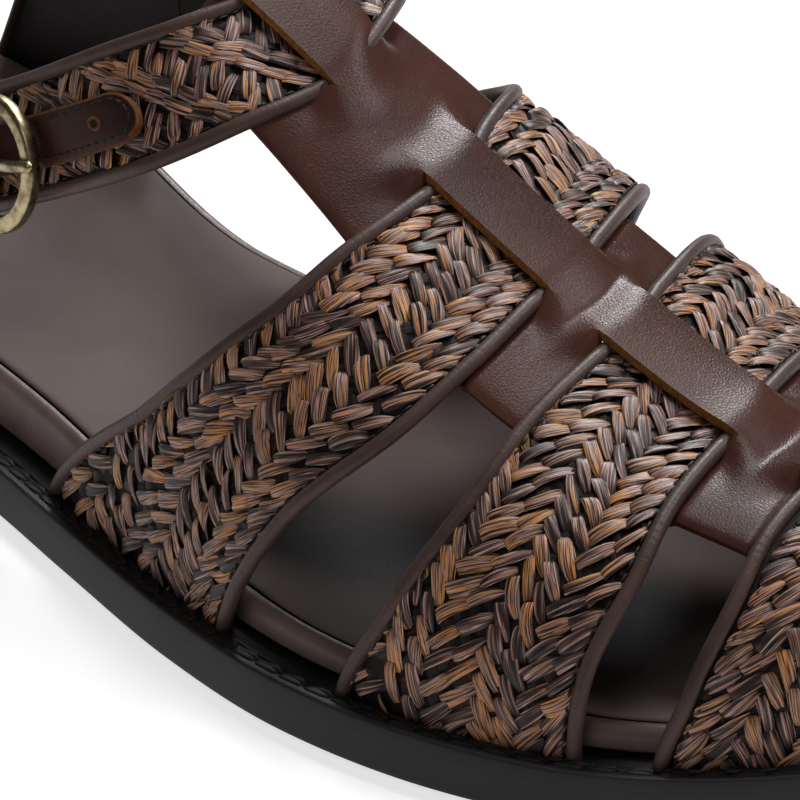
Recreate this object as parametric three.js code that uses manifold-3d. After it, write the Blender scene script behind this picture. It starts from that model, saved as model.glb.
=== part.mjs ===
// Fisherman sandal, right shoe: plaited straps with piped edges, threaded through a slit leather T-bar,
// on a covered footbed, a stitched welt and a flat rubber outsole with a low heel.
// Millimetres. +X points to the toe, +Y to the inner side of the foot, +Z up.
import * as THREE from "three";
import { mergeVertices } from "three/addons/utils/BufferGeometryUtils.js";
import Module from "manifold-3d";

const wasm = await Module();
wasm.setup();

// Driving dimensions of the sole
const OUTSOLE_THICK = 5.7;
const OUTSOLE_EDGE_ROUND = 1.0;
const WELT_THICK = 1.8;
const WELT_REACH_IN = 8;
const FOOTBED_INSET = 6.5;
const FOOTBED_ROLL = 4.5;
const HEEL_LIFT = 6;
const HEEL_BREAST_ROW = 4;
const HEEL_RISE = { from: 112, to: 66 };
const TOE_SPRING = { from: 245, height: 5 };
const GAP = 0.3;

// Driving dimensions of the upper
const WALL = 2;
const FOOT_INSET = 4.2;
const FULLNESS = { lateral: 2.35, medial: 2.65 };
const RIDGE_LINE = { x: 195, y: -8.2, turn: 0.177 };
const TOE_CAP = { fullness: 2.6, length: 50 };
const PIPING = { width: 2.4, height: 1.1, roll: 0.5 };
const PLAIT_RAISED = 0.7;
const PLAIT_WAVE = 0.25;
const BAR = { recess: 0.45, back: 1.6 };
const BAR_STEPS = { along: 14, across: 5 };
const STRIP = { lateral: 1.7, medial: 9.9, low: 0.5, over: 2.4, toe: 1.7, back: 1.1, ramp: 3.5, from: 148.5 };
const STRIP_STEPS = { along: 26, overCap: 8, across: 4 };

// Driving dimensions of the buckle, measured along the ankle strap from the middle of the ring
const RING = { atX: 125.3, radius: 8.8, tube: 1.35, height: 4.6, across: -2.7, sides: 6, segments: 26 };
const PRONG = { radius: 0.9, sides: 6, steps: 9, over: 0.9, past: 3.5 };
const BILLET = { halfWidth: 4.4, thick: 1.7, front: 28.9, back: -32, seat: 1.25, across: -0.9, tip: 0.2 };
const BILLET_STEPS = 26;
const TAB = { halfWidth: 4.4, thick: 1.9, front: -5.5, back: -20 };
const TAB_STEPS = 8;

// Edge of the sole seen from above, from the back of the heel to the tip of the toe
const OUTLINE = [
  { x: 0, lateral: 0, medial: 0 },
  { x: 3, lateral: -14, medial: 14 },
  { x: 12, lateral: -26, medial: 26 },
  { x: 35, lateral: -36, medial: 35.5 },
  { x: 70, lateral: -37, medial: 33 },
  { x: 100, lateral: -39, medial: 29.3 },
  { x: 125, lateral: -42.5, medial: 29.3 },
  { x: 150, lateral: -47.5, medial: 33.8 },
  { x: 180, lateral: -53, medial: 43 },
  { x: 206, lateral: -54.5, medial: 49.5 },
  { x: 232, lateral: -50, medial: 49 },
  { x: 255, lateral: -39.5, medial: 42.5 },
  { x: 274.5, lateral: -23, medial: 31 },
  { x: 286.5, lateral: -5, medial: 18.5 },
  { x: 290, lateral: 9, medial: 9 },
];

// Height of the footbed's face over the underside of the outsole, lower under the ball than at the arch
const FOOTBED_TOP = [
  { x: 0, z: 17 },
  { x: 130, z: 16.9 },
  { x: 190, z: 13.4 },
  { x: 215, z: 12.8 },
  { x: 290, z: 12.8 },
];

// Height of the top line of the last over the floor
const RIDGE = [
  { x: 110, z: 96.3 },
  { x: 150, z: 83.5 },
  { x: 195, z: 59.5 },
  { x: 232, z: 43.2 },
  { x: 258, z: 38.6 },
  { x: 290, z: 36 },
];

// Where the edges of the plaited straps lie along the shoe, at shares of the way round the last:
// 0 is the lateral feather edge, 0.5 the ridge and 1 the medial feather edge
const STRAP_EDGES = [
  { share: 0, rear2: 139.5, front2: 189.7, rear3: 213.8, front3: 250.3, rear4: 258.8 },
  { share: 0.1, rear2: 166.5, front2: 199.2, rear3: 220.4, front3: 250.4, rear4: 261 },
  { share: 0.25, rear2: 183.8, front2: 210.5, rear3: 224.2, front3: 250.6, rear4: 261.2 },
  { share: 0.38, rear2: 188.2, front2: 212.2, rear3: 222, front3: 246.2, rear4: 257.6 },
  { share: 0.5, rear2: 187, front2: 208.1, rear3: 217.9, front3: 240.4, rear4: 252.8 },
  { share: 0.56, rear2: 181.2, front2: 202.9, rear3: 212, front3: 234.4, rear4: 249.4 },
  { share: 0.75, rear2: 164, front2: 188, rear3: 198.6, front3: 223, rear4: 239 },
  { share: 0.9, rear2: 137, front2: 175, rear3: 191, front3: 217, rear4: 233 },
  { share: 1, rear2: 122, front2: 167, rear3: 187, front3: 214, rear4: 230 },
];

// Reach of the T-bar's wide plate to both sides of the ridge
const BAR_EDGES = [
  { x: 160, lateral: 13, medial: 21.5 },
  { x: 172, lateral: 14.3, medial: 23.2 },
  { x: 186, lateral: 16.3, medial: 24.2 },
  { x: 212, lateral: 21.4, medial: 26 },
  { x: 243, lateral: 19.6, medial: 25 },
  { x: 258, lateral: 18, medial: 24 },
];

// Plaited straps over the last, with the number of raised plaits across each and of steps round the last
const LAST_STRAPS = [
  { rear: "rear2", front: "front2", plaits: 4, steps: 24 },
  { rear: "rear3", front: "front3", plaits: 3, steps: 22 },
];
const TOE_PLAITS = { plaits: 3, steps: 20 };
const ANKLE_PLAITS = { plaits: 3, steps: 28 };

// Upper and lower edge of the plaited ankle strap, from the lateral leg over the bar to the medial leg
const ANKLE_STRAP = [
  { top: [86, -31.8, 50], low: [92, -33.4, 32.5] },
  { top: [102, -32.6, 55], low: [110, -35.2, 39] },
  { top: [120.5, -34, 63.6], low: [131.5, -37, 49.6] },
  { top: [141, -31, 75.5], low: [156.5, -35, 63.1] },
  { top: [149.8, -25, 80.5], low: [167, -27, 70.5] },
  { top: [152.5, -15, 82.6], low: [169.5, -13, 73.8] },
  { top: [147, 2, 84], low: [163, 4, 78.4] },
  { top: [133, 14.5, 79], low: [146.5, 18.2, 72.5] },
  { top: [110, 20.5, 63.5], low: [119, 22.5, 48] },
  { top: [86, 24.9, 50], low: [92, 25.1, 32.5] },
];

// Upper and lower edge of the leather heel strap, from the lateral leg round the heel to the medial leg
const HEEL_STRAP = [
  { top: [90, -32.1, 51], low: [90, -33.2, 33] },
  { top: [45, -30.2, 54], low: [44, -31.2, 38] },
  { top: [17, -20.5, 60], low: [14.5, -21.8, 43.5] },
  { top: [7.5, 0, 62.5], low: [5, 0, 45] },
  { top: [17, 20.5, 60], low: [14.5, 21.8, 43.5] },
  { top: [45, 29.2, 54], low: [44, 30.2, 38] },
  { top: [90, 24.9, 51], low: [90, 25.4, 33] },
];

// Leather leg from the sole to the heel strap, on both sides
const LEG = { rearFoot: 33, rearTop: 48, frontFoot: 70, frontTop: 91, topZ: 45, lean: 1.2, sunk: 0.3 };
const LEG_STEPS = 8;
const HEEL_STRAP_STEPS = { round: 22, up: 2 };

// Rolled edge of the footbed, as shares of the roll inwards and upwards
const ROLL_PROFILE = [
  { inwards: 0, up: 0 },
  { inwards: 0.2, up: 0.6 },
  { inwards: 0.5, up: 0.9 },
  { inwards: 1, up: 1 },
];

// Small helpers
const ROWS = OUTLINE.length - 1;
const STATIONS_PER_ROW = 3;
const FEATHER_STEPS_PER_ROW = 20;
const PLACES_ON_ANKLE_STRAP = 400;
const WALK_STEPS = 24;
const WELD = 1e-4;
const NEARBY = 1e-3;
const TURN = 2 * ROWS;
const FEATHER_Z = OUTSOLE_THICK + GAP + WELT_THICK + GAP;
const clamp01 = (v) => Math.min(1, Math.max(0, v));
const smooth = (v) => clamp01(v) ** 2 * (3 - 2 * clamp01(v));
const lerp = THREE.MathUtils.lerp;
const point = (a) => new THREE.Vector3(...a);

// Value of a table's column at any place between its rows, on a smooth curve through them
function along(table, at, key, where) {
  const last = table.length - 1;
  const i = Math.min(last - 1, Math.max(0, table.findIndex((row) => row[at] > where) - 1));
  const k = where >= table[last][at] ? last - 1 : i;
  const slope = (n) => {
    const a = table[Math.max(0, n - 1)];
    const b = table[Math.min(last, n + 1)];
    return (b[key] - a[key]) / (b[at] - a[at]);
  };
  const step = table[k + 1][at] - table[k][at];
  const u = clamp01((where - table[k][at]) / step);
  const rise = table[k + 1][key] - table[k][key];
  const bend = u * (1 - u) * ((1 - u) * (slope(k) * step - rise) - u * (slope(k + 1) * step - rise));
  return table[k][key] + u * rise + bend;
}

// Lift of the sole over the floor: low heel behind the arch, toe spring in front
function lift(x) {
  const heel = HEEL_LIFT * smooth((HEEL_RISE.from - x) / (HEEL_RISE.from - HEEL_RISE.to));
  const forward = clamp01((x - TOE_SPRING.from) / (OUTLINE[ROWS].x - TOE_SPRING.from));
  return heel + TOE_SPRING.height * forward ** 2;
}

// Closed solid of points and quads or triangles, faces turned outwards
function solidOf(points, faces) {
  const flat = new Float32Array(points.flatMap((p) => [p.x, p.y, p.z]));
  const triangles = faces.flatMap((f) => (f.length === 4 ? [f[0], f[1], f[2], f[0], f[2], f[3]] : f));
  const raw = new THREE.BufferGeometry().setAttribute("position", new THREE.BufferAttribute(flat, 3));
  const merged = mergeVertices(raw.setIndex(triangles), WELD);
  const index = merged.index.array;
  const at = (i) => new THREE.Vector3().fromBufferAttribute(merged.attributes.position, i);
  const kept = [];
  let volume = 0;
  for (let i = 0; i < index.length; i += 3) {
    const [a, b, c] = [index[i], index[i + 1], index[i + 2]];
    if (a === b || b === c || c === a) continue;
    kept.push([a, b, c]);
    volume += at(a).dot(at(b).cross(at(c)));
  }
  const turned = kept.flatMap(([a, b, c]) => (volume < 0 ? [a, c, b] : [a, b, c]));
  const vertProperties = merged.attributes.position.array;
  return new wasm.Manifold(new wasm.Mesh({ numProp: 3, vertProperties, triVerts: new Uint32Array(turned) }));
}

// Solid of a three.js geometry
function solidOfGeometry(geometry) {
  const places = geometry.attributes.position;
  const place = (i) => new THREE.Vector3().fromBufferAttribute(places, i);
  const points = Array.from({ length: places.count }, (_, i) => place(i));
  const index = geometry.index ? Array.from(geometry.index.array) : points.map((_, i) => i);
  const faces = Array.from({ length: index.length / 3 }, (_, i) => index.slice(3 * i, 3 * i + 3));
  return solidOf(points, faces);
}

// Largest shell of a solid: pockets closed in between joined pieces are filled
function outerShell(solid) {
  return solid.decompose().reduce((a, b) => (a.volume() > b.volume() ? a : b));
}

// Geometry of a solid
function geometryOf(solid) {
  const mesh = solid.getMesh();
  return new THREE.BufferGeometry()
    .setAttribute("position", new THREE.BufferAttribute(mesh.vertProperties, 3))
    .setIndex(new THREE.BufferAttribute(mesh.triVerts, 1));
}

// Sole outline as one closed curve: lateral side to the toe, medial side back to the heel
const edgeCurve = new THREE.CatmullRomCurve3(
  [
    ...OUTLINE.map((row) => new THREE.Vector3(row.x, row.lateral, 0)),
    ...OUTLINE.slice(1, ROWS).reverse().map((row) => new THREE.Vector3(row.x, row.medial, 0)),
  ],
  true,
  "centripetal",
);

// Point of the sole outline at a row number of one side, moved inwards by an inset
function edgePoint(side, row, inset) {
  const place = ((side === "lateral" ? row : TURN - row) / TURN) % 1;
  const ahead = edgeCurve.getPoint((place + NEARBY) % 1);
  const way = ahead.sub(edgeCurve.getPoint((place + 1 - NEARBY) % 1)).normalize();
  return edgeCurve.getPoint(place).add(new THREE.Vector3(-way.y, way.x, 0).multiplyScalar(inset));
}

// Solid between levels of the sole outline, each with its inset and height, from the heel to one row;
// a level with a rise adds the height that it gives for the place along the shoe
function slab(levels, toRow = ROWS) {
  const stations = toRow * STATIONS_PER_ROW;
  const points = [];
  const faces = [];
  const grid = levels.map((level) =>
    ["lateral", "medial"].map((side) =>
      Array.from({ length: stations + 1 }, (_, k) => {
        const p = edgePoint(side, k / STATIONS_PER_ROW, level.inset);
        p.z = level.z + (level.rise ? level.rise(p.x) : 0) + (level.flat ? 0 : lift(p.x));
        return points.push(p) - 1;
      }),
    ),
  );
  const top = levels.length - 1;
  for (let k = 0; k < stations; k++) {
    const [[lowLat, lowMed], [highLat, highMed]] = [grid[0], grid[top]];
    faces.push([lowLat[k], lowMed[k], lowMed[k + 1], lowLat[k + 1]]);
    faces.push([highLat[k], highLat[k + 1], highMed[k + 1], highMed[k]]);
    for (let j = 0; j < top; j++) {
      const [[lat, med], [latUp, medUp]] = [grid[j], grid[j + 1]];
      faces.push([lat[k], lat[k + 1], latUp[k + 1], latUp[k]]);
      faces.push([med[k + 1], med[k], medUp[k], medUp[k + 1]]);
    }
  }
  for (let j = 0; j < top; j++) {
    const [[lat, med], [latUp, medUp]] = [grid[j], grid[j + 1]];
    faces.push([lat[stations], med[stations], medUp[stations], latUp[stations]]);
  }
  return solidOf(points, faces);
}

// Sole pieces
function outsole() {
  return slab([
    { inset: OUTSOLE_EDGE_ROUND, z: 0 },
    { inset: 0, z: OUTSOLE_EDGE_ROUND },
    { inset: 0, z: OUTSOLE_THICK },
  ]);
}

function heelBlock() {
  return slab(
    [
      { inset: OUTSOLE_EDGE_ROUND, z: 0, flat: true },
      { inset: OUTSOLE_EDGE_ROUND / 2, z: OUTSOLE_EDGE_ROUND, flat: true },
      { inset: OUTSOLE_EDGE_ROUND / 2, z: -GAP },
    ],
    HEEL_BREAST_ROW,
  );
}

function welt() {
  const base = OUTSOLE_THICK + GAP;
  const ring = slab([
    { inset: GAP, z: base },
    { inset: GAP, z: base + WELT_THICK },
  ]);
  const opening = slab([
    { inset: WELT_REACH_IN, z: base - WELT_THICK },
    { inset: WELT_REACH_IN, z: base + 2 * WELT_THICK },
  ]);
  return ring.subtract(opening);
}

// Footbed with a rolled edge; grown by a clearance it also trims the upper
function footbed(clear = 0) {
  const inset = FOOTBED_INSET - clear;
  const plug = WELT_REACH_IN + GAP - clear;
  const roll = ROLL_PROFILE.map(({ inwards, up }) => ({
    inset: inset + inwards * FOOTBED_ROLL,
    z: clear - (1 - up) * FOOTBED_ROLL,
    rise: (x) => along(FOOTBED_TOP, "x", "z", x),
  }));
  return slab([
    { inset: plug, z: OUTSOLE_THICK + GAP - clear },
    { inset: plug, z: FEATHER_Z - clear },
    { inset, z: FEATHER_Z - clear },
    ...roll,
  ]);
}

// Last: the outer face of the upper. Feather edge of each side in plan, outside and inside of the wall
const feather = Object.fromEntries(
  ["lateral", "medial"].map((side) => [
    side,
    Array.from({ length: ROWS * FEATHER_STEPS_PER_ROW + 1 }, (_, k) => ({
      outside: edgePoint(side, k / FEATHER_STEPS_PER_ROW, FOOT_INSET),
      inside: edgePoint(side, k / FEATHER_STEPS_PER_ROW, FOOT_INSET + WALL),
    })),
  ]),
);

// Row of the outline table, with its fraction, where the feather edge of one side has this x
function featherRow(side, x) {
  const list = feather[side];
  const found = list.findIndex((p) => p.outside.x >= x);
  const b = found < 1 ? list.length - 1 : found;
  const [p, q] = [list[b - 1].outside, list[b].outside];
  return (b - 1 + clamp01((x - p.x) / (q.x - p.x))) / FEATHER_STEPS_PER_ROW;
}

// Feather point of one side where the outside of the wall has this place along the shoe
function foot(side, x, depth) {
  const step = featherRow(side, x) * FEATHER_STEPS_PER_ROW;
  const before = Math.min(feather[side].length - 2, Math.floor(step));
  const [p, q] = [feather[side][before], feather[side][before + 1]];
  const outside = p.outside.clone().lerp(q.outside, step - before);
  const inside = p.inside.clone().lerp(q.inside, step - before);
  return outside.lerp(inside, depth / WALL);
}

// Height of the feather edge over the floor
function featherFloor(x) {
  return FEATHER_Z - GAP + lift(x);
}

// Highest point of the section of the last at a place along the shoe
function ridge(x, depth) {
  const y = RIDGE_LINE.y + RIDGE_LINE.turn * (x - RIDGE_LINE.x);
  return { top: new THREE.Vector3(x, y, along(RIDGE, "x", "z", x) - depth), floor: featherFloor(x) };
}

// Point of the last at a share of the way round, a depth inside the wall
function lastPoint(x, share, depth) {
  const side = share < 0.5 ? "lateral" : "medial";
  const power = 2 / FULLNESS[side];
  const { top, floor } = ridge(x, depth);
  const out = Math.abs(Math.cos(Math.PI * share)) ** power;
  const up = Math.abs(Math.sin(Math.PI * share)) ** power;
  const plan = top.clone().lerp(foot(side, x, depth), out);
  plan.z = floor + (top.z - floor) * up;
  return plan;
}

// Point of the last beside its ridge by a width
function besideRidge(x, width, depth) {
  const side = width < 0 ? "lateral" : "medial";
  const { top } = ridge(x, 0);
  const reach = foot(side, x, 0).sub(top).setZ(0).length();
  const turn = Math.acos(clamp01(Math.abs(width) / reach) ** (FULLNESS[side] / 2)) / Math.PI;
  return lastPoint(x, width < 0 ? turn : 1 - turn, depth);
}

// Toe cap: a dome of rays from its crown, on the ridge at its rear edge, to the feather edge round the toe
const capRear = (share) => along(STRAP_EDGES, "share", "rear4", share);
const capStart = { lateral: featherRow("lateral", capRear(0)), medial: featherRow("medial", capRear(1)) };

// Point of a ray of the dome: turn runs from rear edge to tip, rise from feather edge to crown
function capRay(side, turn, rise, depth) {
  const power = 2 / lerp(FULLNESS[side], TOE_CAP.fullness, turn);
  const crown = lastPoint(capRear(0.5), 0.5, depth);
  const low = edgePoint(side, lerp(capStart[side], ROWS, turn), FOOT_INSET + depth);
  const floor = featherFloor(low.x);
  const angle = (rise * Math.PI) / 2;
  const p = crown.clone().lerp(low, Math.cos(angle) ** power);
  p.z = floor + (crown.z - floor) * Math.sin(angle) ** power;
  return p;
}

// Point of the cap by its share of the way forward to the tip and its share of the way round the last,
// bent so that the cap starts on the last at its rear edge
function capPoint(forward, share, depth) {
  const side = share < 0.5 ? "lateral" : "medial";
  const out = forward + (1 - forward) * Math.abs(1 - 2 * share);
  const turn = out > 0 ? forward / out : 1;
  const rise = 1 - out;
  const edgeShare = side === "lateral" ? rise / 2 : 1 - rise / 2;
  const edge = lastPoint(capRear(edgeShare), edgeShare, depth);
  const bend = edge.sub(capRay(side, 0, rise, depth)).multiplyScalar((1 - turn) ** 2);
  return capRay(side, turn, rise, depth).add(bend);
}

// Point of the cap beside the line from its crown to the tip by a width
function besideCapRidge(rise, width, depth) {
  const crown = capRay("lateral", 1, 1, depth);
  const tip = capRay("lateral", 1, 0, depth);
  const across = new THREE.Vector3(crown.y - tip.y, tip.x - crown.x, 0).normalize();
  const level = capRay("lateral", 1, rise, depth).addScaledVector(across, width);
  const turn = 1 - Math.abs(width) / TOE_CAP.length;
  const spread = capRay(width < 0 ? "lateral" : "medial", turn, rise, depth);
  return level.lerp(spread, Math.cos((rise * Math.PI) / 2) ** (2 / TOE_CAP.fullness));
}

// Shell between an outer and an inner grid of points
function shell(rows, columns, outer, inner) {
  const points = [];
  const faces = [];
  const index = (layer, i, j) => (layer * (rows + 1) + i) * (columns + 1) + j;
  [outer, inner].forEach((surface) => {
    for (let i = 0; i <= rows; i++) {
      for (let j = 0; j <= columns; j++) points.push(surface(i, j));
    }
  });
  for (let i = 0; i < rows; i++) {
    for (let j = 0; j < columns; j++) {
      faces.push([index(0, i, j), index(0, i + 1, j), index(0, i + 1, j + 1), index(0, i, j + 1)]);
      faces.push([index(1, i, j), index(1, i, j + 1), index(1, i + 1, j + 1), index(1, i + 1, j)]);
    }
  }
  for (let i = 0; i < rows; i++) {
    const end = columns;
    faces.push([index(0, i, 0), index(1, i, 0), index(1, i + 1, 0), index(0, i + 1, 0)]);
    faces.push([index(0, i + 1, end), index(1, i + 1, end), index(1, i, end), index(0, i, end)]);
  }
  for (let j = 0; j < columns; j++) {
    faces.push([index(0, 0, j + 1), index(1, 0, j + 1), index(1, 0, j), index(0, 0, j)]);
    faces.push([index(0, rows, j), index(1, rows, j), index(1, rows, j + 1), index(0, rows, j + 1)]);
  }
  return solidOf(points, faces);
}

// Round cord along points, flat at both ends
function cord(points, radius, sides, steps) {
  const ring = new THREE.Shape(
    Array.from({ length: sides }, (_, i) => {
      const angle = (2 * Math.PI * i) / sides;
      return new THREE.Vector2(radius * Math.cos(angle), radius * Math.sin(angle));
    }),
  );
  const extrudePath = new THREE.CatmullRomCurve3(points, false, "centripetal");
  return solidOfGeometry(new THREE.ExtrudeGeometry(ring, { steps, extrudePath }));
}

// Cross-section of a plaited strap: a piped edge on each bound side and raised strips between grooves.
// Each node lies a number of millimetres from the rear or front edge, or at a share of the width between
function strapNodes(plaits, pipedFront) {
  const piping = (side) => [
    { side, mm: 0, height: () => -PIPING.roll },
    { side, mm: PIPING.width / 2, height: () => PIPING.height },
    { side, mm: PIPING.width, height: () => 0 },
  ];
  const strips = Array.from({ length: 2 * plaits - 1 }, (_, k) => ({
    share: (k + 1) / (2 * plaits),
    height: (j) => (k % 2 ? 0 : PLAIT_RAISED + ((j + k / 2) % 2 ? PLAIT_WAVE : -PLAIT_WAVE)),
  }));
  const front = pipedFront ? piping("front").reverse() : [{ side: "front", mm: 0, height: () => 0 }];
  return [...piping("rear"), ...strips, ...front];
}

// Distance of a node of the cross-section from the rear edge of a strap of this width
function nodePlace(node, width) {
  if (node.side) return node.side === "rear" ? node.mm : width - node.mm;
  return lerp(PIPING.width, width - PIPING.width, node.share);
}

// Plaited wall on a surface: at places a node of the cross-section, surface gives the point there
function plaitedWall(nodes, steps, at, surface) {
  const outer = (i, j) => surface(at(i, j), j / steps, -nodes[i].height(j));
  const inner = (i, j) => surface(at(i, j), j / steps, WALL);
  return shell(nodes.length - 1, steps, outer, inner);
}

// Plaited strap over the last between two edges of the table
function lastStrap({ rear, front, plaits, steps }) {
  const nodes = strapNodes(plaits, true);
  const x = (i, j) => {
    const start = along(STRAP_EDGES, "share", rear, j / steps);
    return start + nodePlace(nodes[i], along(STRAP_EDGES, "share", front, j / steps) - start);
  };
  return plaitedWall(nodes, steps, x, lastPoint);
}

function toeCap({ plaits, steps }) {
  const nodes = strapNodes(plaits, false);
  const forward = (i) => nodePlace(nodes[i], TOE_CAP.length) / TOE_CAP.length;
  return plaitedWall(nodes, steps, forward, capPoint);
}

// Band between two edge curves: frame of any place along it
function band(rows) {
  const top = new THREE.CatmullRomCurve3(rows.map((row) => point(row.top)), false, "centripetal");
  const low = new THREE.CatmullRomCurve3(rows.map((row) => point(row.low)), false, "centripetal");
  const at = (u, v) => low.getPoint(u).lerp(top.getPoint(u), v);
  const frame = (u) => {
    const alongBand = at(clamp01(u + NEARBY), 0.5).sub(at(clamp01(u - NEARBY), 0.5)).normalize();
    const across = top.getPoint(u).sub(low.getPoint(u)).normalize();
    const normal = alongBand.clone().cross(across).normalize();
    return { centre: at(u, 0.5), alongBand, across, normal };
  };
  const lifted = (u, v, height) => at(u, v).addScaledVector(frame(u).normal, height);
  return { top, low, frame, lifted };
}

const ankle = band(ANKLE_STRAP);

function ankleStrap({ plaits, steps }) {
  const nodes = strapNodes(plaits, true);
  const across = (i, j) => {
    const width = ankle.top.getPoint(j / steps).distanceTo(ankle.low.getPoint(j / steps));
    return nodePlace(nodes[i], width) / width;
  };
  return plaitedWall(nodes, steps, across, (v, u, depth) => ankle.lifted(u, v, -depth));
}

function heelQuarter() {
  const strap = band(HEEL_STRAP);
  const { round, up } = HEEL_STRAP_STEPS;
  const face = (height) => (i, j) => strap.lifted(j / round, i / up, height);
  const pieces = [shell(up, round, face(0), face(-WALL))];
  for (const side of ["lateral", "medial"]) {
    const inwards = side === "lateral" ? 1 : -1;
    const wall = (depth) => (i, j) => {
      const rise = i / up;
      const rear = lerp(LEG.rearFoot, LEG.rearTop, rise);
      const x = lerp(rear, lerp(LEG.frontFoot, LEG.frontTop, rise), j / LEG_STEPS);
      const p = foot(side, x, depth);
      p.y += inwards * LEG.lean * rise;
      p.z = lerp(featherFloor(x), LEG.topZ, rise);
      return p;
    };
    pieces.push(shell(up, LEG_STEPS, wall(LEG.sunk), wall(WALL - LEG.sunk)));
  }
  return pieces;
}

// T-bar: a wide plate behind the straps, and its middle strip over them between the slits
const CROSSINGS = [
  [ANKLE_STRAP[5].top[0], ANKLE_STRAP[5].low[0]],
  ...LAST_STRAPS.map(({ rear, front }) => [rear, front].map((key) => along(STRAP_EDGES, "share", key, 0.5))),
  [capRear(0.5), OUTLINE[ROWS].x],
];

function stripHeight(x) {
  const over = CROSSINGS.map(([rear, front]) => {
    const into = smooth((x - rear + STRIP.ramp / 2) / STRIP.ramp);
    return into * smooth((front + STRIP.ramp / 2 - x) / STRIP.ramp);
  });
  return STRIP.low + STRIP.over * Math.max(...over);
}

function bar() {
  const plateFace = (depth) => (i, j) => {
    const x = lerp(BAR_EDGES[0].x, BAR_EDGES.at(-1).x, i / BAR_STEPS.along);
    const [lateral, medial] = ["lateral", "medial"].map((side) => along(BAR_EDGES, "x", side, x));
    return besideRidge(x, lerp(-lateral, medial, j / BAR_STEPS.across), depth);
  };
  const plate = shell(BAR_STEPS.along, BAR_STEPS.across, plateFace(BAR.recess), plateFace(BAR.back));
  const stripX = (i) => lerp(STRIP.from, capRear(0.5), i / STRIP_STEPS.along);
  const stripFace = (raised) => (i, j) => {
    const width = lerp(-STRIP.lateral, STRIP.medial, j / STRIP_STEPS.across);
    const down = (i - STRIP_STEPS.along) / STRIP_STEPS.overCap;
    if (down <= 0) return besideRidge(stripX(i), width, raised ? -stripHeight(stripX(i)) : STRIP.back);
    const height = lerp(STRIP.low + STRIP.over, STRIP.toe, down);
    return besideCapRidge(1 - down, width, raised ? -height : STRIP.back);
  };
  const steps = STRIP_STEPS.along + STRIP_STEPS.overCap;
  return [plate, shell(steps, STRIP_STEPS.across, stripFace(true), stripFace(false))];
}

function upper() {
  const pieces = [
    ...LAST_STRAPS.map(lastStrap),
    toeCap(TOE_PLAITS),
    ankleStrap(ANKLE_PLAITS),
    ...heelQuarter(),
    ...bar(),
  ];
  const below = slab([
    { inset: -FOOT_INSET, z: -HEEL_LIFT },
    { inset: -FOOT_INSET, z: FEATHER_Z },
  ]);
  const joined = pieces.reduce((whole, piece) => whole.add(piece)).subtract(below).subtract(footbed(GAP));
  return outerShell(joined);
}

// Buckle: places on the ankle strap by the distance from the middle of the ring
const ringPlace = (() => {
  const lateral = Array.from({ length: PLACES_ON_ANKLE_STRAP / 2 }, (_, i) => i / PLACES_ON_ANKLE_STRAP);
  const off = (u) => Math.abs(ankle.frame(u).centre.x - RING.atX);
  return lateral.reduce((best, u) => (off(u) < off(best) ? u : best));
})();

function onStrap(distance, across, height) {
  let u = ringPlace;
  for (let i = 0; i < WALK_STEPS; i++) {
    const pace = ankle.frame(u + NEARBY).centre.distanceTo(ankle.frame(u).centre) / NEARBY;
    u += distance / WALK_STEPS / pace;
  }
  const place = ankle.frame(u);
  return place.centre.addScaledVector(place.across, across).addScaledVector(place.normal, height);
}

function ringFrame() {
  const { centre, alongBand, normal, across } = ankle.frame(ringPlace);
  const turned = new THREE.Matrix4().makeBasis(alongBand, normal, alongBand.clone().cross(normal));
  return turned.setPosition(centre.addScaledVector(across, RING.across));
}

// Round ring of the buckle; grown by a clearance it also trims what it touches
function ring(clear = 0) {
  const profile = Array.from({ length: RING.sides + 1 }, (_, i) => {
    const angle = (2 * Math.PI * i) / RING.sides;
    const tube = RING.tube + clear;
    return new THREE.Vector2(RING.radius + tube * Math.cos(angle), RING.height + tube * Math.sin(angle));
  });
  return new THREE.LatheGeometry(profile, RING.segments);
}

function prongLine() {
  const rest = RING.height + RING.tube + GAP;
  return [
    new THREE.Vector3(RING.tube + GAP - RING.radius, RING.height, 0),
    new THREE.Vector3(0, RING.height + PRONG.over, 0),
    new THREE.Vector3(RING.radius - RING.tube, rest + PRONG.radius, 0),
    new THREE.Vector3(RING.radius + PRONG.past, rest + PRONG.radius, 0),
  ];
}

function billetHeight(distance) {
  const overRing = RING.height + RING.tube + GAP - BILLET.seat;
  const climb = smooth((RING.radius - 2 * RING.tube - distance) / (2 * RING.radius - 4 * RING.tube));
  const down = smooth((distance - BILLET.back) / (TAB.back - BILLET.back));
  return BILLET.seat + overRing * climb * down;
}

function billet() {
  const round = BILLET.halfWidth;
  const distance = (i) => lerp(BILLET.back, BILLET.front, i / BILLET_STEPS);
  const halfWidth = (d) => {
    const past = Math.max(0, d - (BILLET.front - round), BILLET.back + round - d);
    return round * Math.max(BILLET.tip, Math.sqrt(Math.max(0, 1 - (past / round) ** 2)));
  };
  const surface = (height) => (i, j) => {
    const d = distance(i);
    return onStrap(d, BILLET.across + halfWidth(d) * (j - 1), billetHeight(d) + height);
  };
  const strip = shell(BILLET_STEPS, 2, surface(BILLET.thick), surface(0));
  const slot = cord(prongLine(), PRONG.radius + GAP, PRONG.sides, PRONG.steps);
  return strip.subtract(slot.transform(ringFrame().elements)).subtract(ringClearance());
}

function ringClearance() {
  return solidOfGeometry(ring(GAP)).transform(ringFrame().elements);
}

function tab() {
  const distance = (i) => lerp(TAB.back, TAB.front, i / TAB_STEPS);
  const surface = (height) => (i, j) =>
    onStrap(distance(i), RING.across + TAB.halfWidth * (j - 1), BILLET.seat + height);
  return shell(TAB_STEPS, 2, surface(TAB.thick), surface(0)).subtract(ringClearance());
}

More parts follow.
